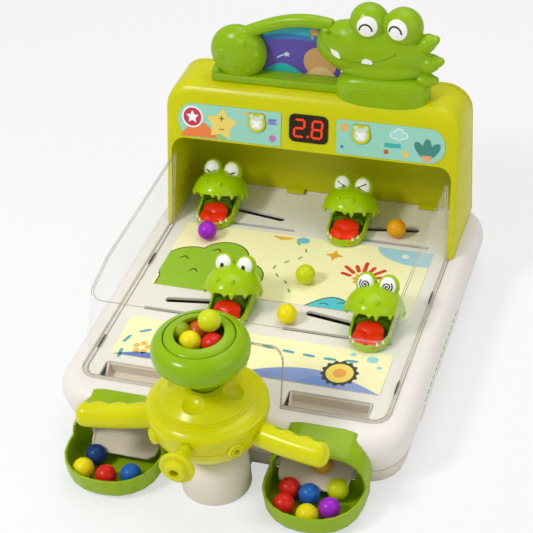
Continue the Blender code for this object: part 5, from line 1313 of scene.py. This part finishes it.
for side, word in sides:
    rest(ease(grip(side, word + "_handle_moulded", grip_radius, scalloped, turret_yellow), 0.0006), "turret",
         "turret_plastic", word + "_handle")
    rest(grip(side, word + "_grip_moulded", grip_radius * 0.945, behind, leaf), "turret", "leaf_plastic",
         word + "_grip_insert")

# Ball pockets. Each is a green scoop with an arched hood at its back, hooked into the base below
# the beige chute that feeds it.

chute_beige = moulded("chute_plastic", (222, 209, 190), roughness=0.42, drift=0.05)
pocket_green = moulded("pocket_plastic", (148, 180, 18), roughness=0.24, drift=0.08)


def make_chute(word, side):
    """A shallow tray that slopes from the trough down into the pocket, its walls fading out at the lip."""
    shape = bmesh.new()
    rows = 20
    back_y, front_y = -0.1355, -0.2085
    rings = []
    for row in range(rows + 1):
        share = row / rows
        y = back_y + (front_y - back_y) * share
        x = side * (0.0890 + 0.0003 * share)
        half = 0.0385 - 0.0070 * share
        corner = max(0.0, (share - 0.88) / 0.12)
        half -= 0.0075 * (1 - sqrt(max(1 - corner * corner, 0.0)))
        floor = 0.0465 - 0.0315 * share
        rise = 0.0100 * max(0.0, 1 - share * 1.45) + 0.0009
        low = floor - 0.0019
        rings.append([shape.verts.new((across, y, up)) for across, up in
                      ((x - half, low), (x + half, low), (x + half, floor + rise), (x + half - 0.0020, floor + rise),
                       (x + half - 0.0026, floor), (x - half + 0.0026, floor), (x - half + 0.0020, floor + rise),
                       (x - half, floor + rise))])
    lofted(shape, rings)
    block(shape, (side * 0.0890, back_y + 0.0002, 0.0498), (0.0770, 0.0016, 0.0104))
    return closed(word + "_chute_moulded", shape, chute_beige)


for side, word in sides:
    scoop = flowed(to_piece(word + "_pocket_moulded", joined_up(word + "_pocket"), pocket_green), 0.0009, 9)
    rest(scoop, "housing", slot_of[word + "_pocket"], word + "_pocket")
    rest(ease(make_chute(word, side), 0.0004), "housing", "white_plastic", word + "_chute")

# Drive, hidden under the field: a motor and two bars that carry the rows of targets.

nylon = moulded("bar_nylon", (225, 225, 215), roughness=0.5)
dressed("drive_motor", moulded("motor_grey", (150, 152, 158), roughness=0.4, Metallic=0.6), 0.0004)
dressed("rear_drive_bar", nylon, 0.0003)
dressed("front_drive_bar", nylon, 0.0003)

# Crocodile targets. A jaw tray with a red tongue slides along its slot, and the domed head rocks
# on the jaw's pins. The head's lip is moulded with hanging teeth, and each face has its own eyes.

croc_green = moulded("croc_plastic", (164, 200, 2), roughness=0.18, drift=0.08)
# a darker green, painted shade for the back of the open mouth
throat_painted_shade = moulded("throat_shade_paint", (96, 146, 8), roughness=0.32, drift=0.08)
tongue_red = moulded("tongue_plastic", (240, 52, 14), roughness=0.24, drift=0.22)
hinge_y = 0.028
hinge_z = 0.018
open_angle = radians(27)
dome_centre = Vector((0, -0.008, 0))
dome_reach = Vector((0.028, 0.031, 0.0235))
dome_wall = 0.002
lip_inset = 0.001
mound_place = Vector((0.0106, -0.0047, 0.0222))
mound_reach = Vector((0.0104, 0.0085, 0.0115))
lip_teeth = [(-24, 0.0032), (4, 0.0024), (18, 0.0046), (46, 0.0034), (-56, 0.0038), (-77, 0.0058), (74, 0.0058),
             (-99, 0.0052), (98, 0.0054)]


def bar_across(radius, start, end, sides=32):
    """A round bar along x."""
    shape = bmesh.new()
    bmesh.ops.create_cone(shape, cap_ends=True, segments=sides, radius1=radius, radius2=radius, depth=end - start,
                          matrix=Matrix.Translation(((start + end) / 2, 0, 0)) @ Matrix.Rotation(pi / 2, 4, "Y"))
    return shape


drop = turned("drop_pattern", [(0.0, 0.30), (0.95, 0.30), (1.0, 0.0), (0.86, -0.25), (0.62, -0.52), (0.44, -0.78),
                              (0.30, -0.93), (0.12, -0.99), (0.0, -1.0)], croc_green, steps=14)


def make_croc_head():
    """The head about its hinge, mouth closed flat, before it is tipped open."""
    outer = bmesh.new()
    lump(outer, dome_centre, dome_reach, 56, 32)
    head = to_piece("croc_head_pattern", outer, croc_green)
    inner = bmesh.new()
    lump(inner, dome_centre, dome_reach - Vector((dome_wall, dome_wall, dome_wall)), 40, 24)
    carve(head, to_piece("hollow", inner, croc_green))
    below = bmesh.new()
    low, high = Vector((-0.08, -0.08, -0.08)), Vector((0.08, 0.08, 0.0004))
    block(below, (low + high) / 2, high - low)
    carve(head, to_piece("below", below, croc_green))
    extras = bmesh.new()
    for side in (-1, 1):
        place = Vector((side * mound_place.x, mound_place.y, mound_place.z))
        lump(extras, place, mound_reach)
        lump(extras, (side * 0.0072, -0.0340, 0.0120), (0.0022, 0.0022, 0.0030), 16, 8)
    bmesh.ops.recalc_face_normals(extras, faces=extras.faces)
    feet, lengths = [], []
    for angle, length in lip_teeth:
        heading = radians(-90 + angle)
        feet.append(dome_centre + Vector(((dome_reach.x - lip_inset) * cos(heading),
                                          (dome_reach.y - lip_inset) * sin(heading), 0)))
        lengths.append(length)
    fringe = laid_out("lip_fringe", set_out, feet,
                      {"Pattern": drop, "Width": 0.0025, "Height": 1.0, "Finish": croc_green}, stretches=lengths)
    full = bmesh.new()
    full.from_mesh(head.data)
    full.from_mesh(fringe.data)
    bpy.data.objects.remove(fringe)
    add_shape(full, extras)
    for side in (-1, 1):
        add_shape(full, bar_across(0.0052, side * 0.0241 - 0.0019, side * 0.0241 + 0.0019))
    solid = to_piece("croc_head_solid", full, croc_green)
    flowed(solid, 0.00055, 4)
    hollow = bmesh.new()
    lump(hollow, dome_centre - Vector((0, 0, 0.001)), dome_reach - Vector((dome_wall, dome_wall, dome_wall)), 48, 24)
    carve(solid, to_piece("hollow", hollow, croc_green))
    carve(solid, to_piece("pin_hole", bar_across(0.0025, -0.03, 0.03), croc_green))
    bpy.data.objects.remove(head)
    return solid


def make_tongue():
    """A tongue of two plump lobes that rises towards the throat."""
    shape = bmesh.new()
    for side in (-1, 1):
        lump(shape, (side * 0.0066, -0.0068, 0.0090), (0.0082, 0.0118, 0.0042), 32, 16,
             Matrix.Rotation(radians(13), 4, "X"))
        lump(shape, (side * 0.0064, -0.0060, 0.0068), (0.0070, 0.0100, 0.0024), 24, 12)
    lump(shape, (0, 0.0020, 0.0118), (0.0136, 0.0090, 0.0048), 32, 16, Matrix.Rotation(radians(30), 4, "X"))
    return flowed(closed("tongue_pattern", shape, tongue_red), 0.0005, 5)


croc_places = {"a": (-0.1025, 0.0995), "b": (-0.0375, -0.0525), "c": (0.0375, 0.0995), "d": (0.1025, -0.0525)}
pattern_head = make_croc_head()
pattern_tongue = make_tongue()
lens = bmesh.new()
lump(lens, (0, 0, 0), (0.0087, 0.0072, 0.0099), 40, 24)
lens_mesh = to_piece("lens_pattern", lens, eye_white).data
lens_place = Vector((0.0106, -0.0070, 0.0226))
fang = turned("fang_pattern", [(0.0, 1.0), (0.30, 0.86), (0.62, 0.55), (0.88, 0.25), (1.0, 0.0), (0.0, 0.0)],
              tooth_white, steps=14)


def eye_marks(letter, side):
    """What is printed on each eye, about its centre: sleepy lids, pupils, squeezed shut, or dizzy."""
    if letter == "a":
        lid = [(-0.0044 + 0.0011 * step, -0.0002 - 0.0015 * sin(pi * step / 8)) for step in range(9)]
        return stroke(lid, 0.0014) + stroke([(0.0006, -0.0016), (0.0022, -0.0034)], 0.0011)
    if letter == "b":
        return [round_outline((0, -0.0008), 0.0019, 20, squeeze=1.7)]
    if letter == "c":
        tip = -side * 0.0038
        return stroke([(-tip, 0.0042), (tip, 0.0002), (-tip, -0.0034)], 0.0012)
    spiral = []
    for step in range(30):
        angle = step * 0.46
        reach = 0.0004 + 0.00036 * angle
        spiral.append((side * reach * cos(angle), reach * sin(angle) + 0.0006))
    return stroke(spiral, 0.00115)


throat = [Vector((0.0158, 0.0044)), Vector((0.0158, 0.0120))]
throat += [Vector((0.0158 * cos(pi * step / 16), 0.0120 + 0.0070 * sin(pi * step / 16))) for step in range(1, 16)]
throat += [Vector((-0.0158, 0.0120)), Vector((-0.0158, 0.0044))]
for letter, (x, y) in croc_places.items():
    prefix = "croc_" + letter
    head_node = prefix + "_head"
    jaw_body = body_of[prefix + "_jaw"]
    placing = Matrix.Translation((x, y + hinge_y, deck_top + hinge_z)) @ Matrix.Rotation(-open_angle, 4, "X")
    head = bpy.data.objects.new(prefix + "_head_moulded", pattern_head.data.copy())
    head.data.transform(placing)
    rest(head, body_of[head_node], "leaf_plastic", head_node)
    for side, word in sides:
        at_eye = Matrix.Translation((side * lens_place.x, lens_place.y, lens_place.z))
        lens_piece = bpy.data.objects.new(prefix + "_" + word + "_eye", lens_mesh.copy())
        mark = printed(prefix + "_" + word + "_mark", eye_marks(letter, side), facing_player(-0.02), eye_line, 0.00015,
                       tree_of(lens_piece), 0.0006)
        for piece in (lens_piece, mark):
            piece.data.transform(placing @ at_eye)
            rest(piece, body_of[head_node], "leaf_plastic")
    dressed(prefix + "_jaw", croc_green, 0.0005)
    at_slot = Matrix.Translation((x, y, deck_top))
    tongue = bpy.data.objects.new(prefix + "_tongue_moulded", pattern_tongue.data.copy())
    tongue.data.transform(at_slot)
    rest(tongue, body_of[prefix + "_tongue"], "tongue_plastic", prefix + "_tongue")
    # painted shade: a dark green sheet across the back of the open mouth stands in for the shade that falls there
    wall_piece = printed(prefix + "_throat", [throat], facing_player(0.0108), throat_painted_shade, 0.0010)
    wall_piece.data.transform(at_slot)
    rest(wall_piece, jaw_body, "leaf_plastic")
    rim = [Vector((x + 0.0184 * cos(radians(a)), y - 0.0008 + 0.0184 * sin(radians(a)), deck_top + 0.0088))
           for a in (-148, -128, -52, -32)]
    rest(laid_out(prefix + "_fangs", set_out, rim,
                  {"Pattern": fang, "Width": 0.0014, "Height": 0.0038, "Finish": tooth_white}),
         jaw_body, "leaf_plastic")
    dressed(prefix + "_follower", nylon, 0.0003)
for pattern in (pattern_head, pattern_tongue, fang, drop):
    bpy.data.objects.remove(pattern)

# Balls. Hollow moulded balls in a few colours, each with the faint parting line of its mould. They
# lie where they have come to rest on the field, in the pockets and in the hopper.

ball_radius = 0.00975
seam_half, seam_proud = 0.07, 1.006
ball_colours = {
    "purple": (166, 38, 206), "lime": (208, 218, 16), "yellow": (240, 224, 6), "orange": (240, 166, 10),
    "red": (220, 38, 26), "blue": (28, 100, 186), "navy": (24, 60, 120), "olive": (150, 168, 20),
    "rust": (198, 92, 14), "ochre": (190, 140, 20),
}
ball_finish = {word: moulded("ball_" + word + "_plastic", colour, roughness=0.3, drift=0.06)
               for word, colour in ball_colours.items()}
ball_places = {
    "yellow": [(0.0195, -0.0430, 0.0673), (-0.0073, -0.2095, 0.1640), (-0.1172, -0.2327, 0.0140),
               (0.0945, -0.2390, 0.0140)],
    "orange": [(0.0869, 0.1122, 0.0672)],
    "olive": [(-0.0205, -0.1990, 0.1635)],
    "rust": [(-0.0070, -0.1905, 0.1600)],
    "red": [(0.0115, -0.2060, 0.1625), (-0.0938, -0.2361, 0.0140), (0.0707, -0.2120, 0.0140),
            (0.0716, -0.2318, 0.0140)],
    "navy": [(-0.1125, -0.2135, 0.0140)],
    "blue": [(-0.0723, -0.2295, 0.0140), (0.0898, -0.2150, 0.0140)],
    "lime": [(0.1124, -0.2032, 0.0140)],
    "ochre": [(0.0954, -0.1930, 0.0320)],
}


def ball_shape():
    """A ball of unit radius with a fine raised parting line round its middle."""
    shape = bmesh.new()
    bmesh.ops.create_uvsphere(shape, u_segments=48, v_segments=25, radius=1.0)
    for vertex in shape.verts:
        if abs(vertex.co.z) < seam_half:
            vertex.co.x *= seam_proud
            vertex.co.y *= seam_proud
    return shape


ball = to_piece("ball_pattern", ball_shape(), ball_finish["lime"])


def balls(name, word, places, seed, *stands_for):
    """Balls of one colour, each turned its own way."""
    piece = laid_out(name, set_out, places, {"Pattern": ball, "Width": ball_radius, "Height": ball_radius,
                                             "Tumble": 3.0, "Seed": seed, "Finish": ball_finish[word]})
    rest(piece, "housing", "ball_lime" if word in ("lime", "yellow", "olive") else "ball_purple", *stands_for)


for seed, (word, places) in enumerate(ball_places.items()):
    balls(word + "_balls", word, places, seed)
for seed, (node, word) in enumerate((("field_ball_purple", "purple"), ("field_ball_lime", "lime"),
                                     ("hopper_ball", "lime"), ("pocket_ball", "purple")), 20):
    low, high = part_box(node)
    balls(node + "_moulded", word, [(low + high) / 2], seed, node)
for pattern in (ball, dash, screw_head):
    bpy.data.objects.remove(pattern)
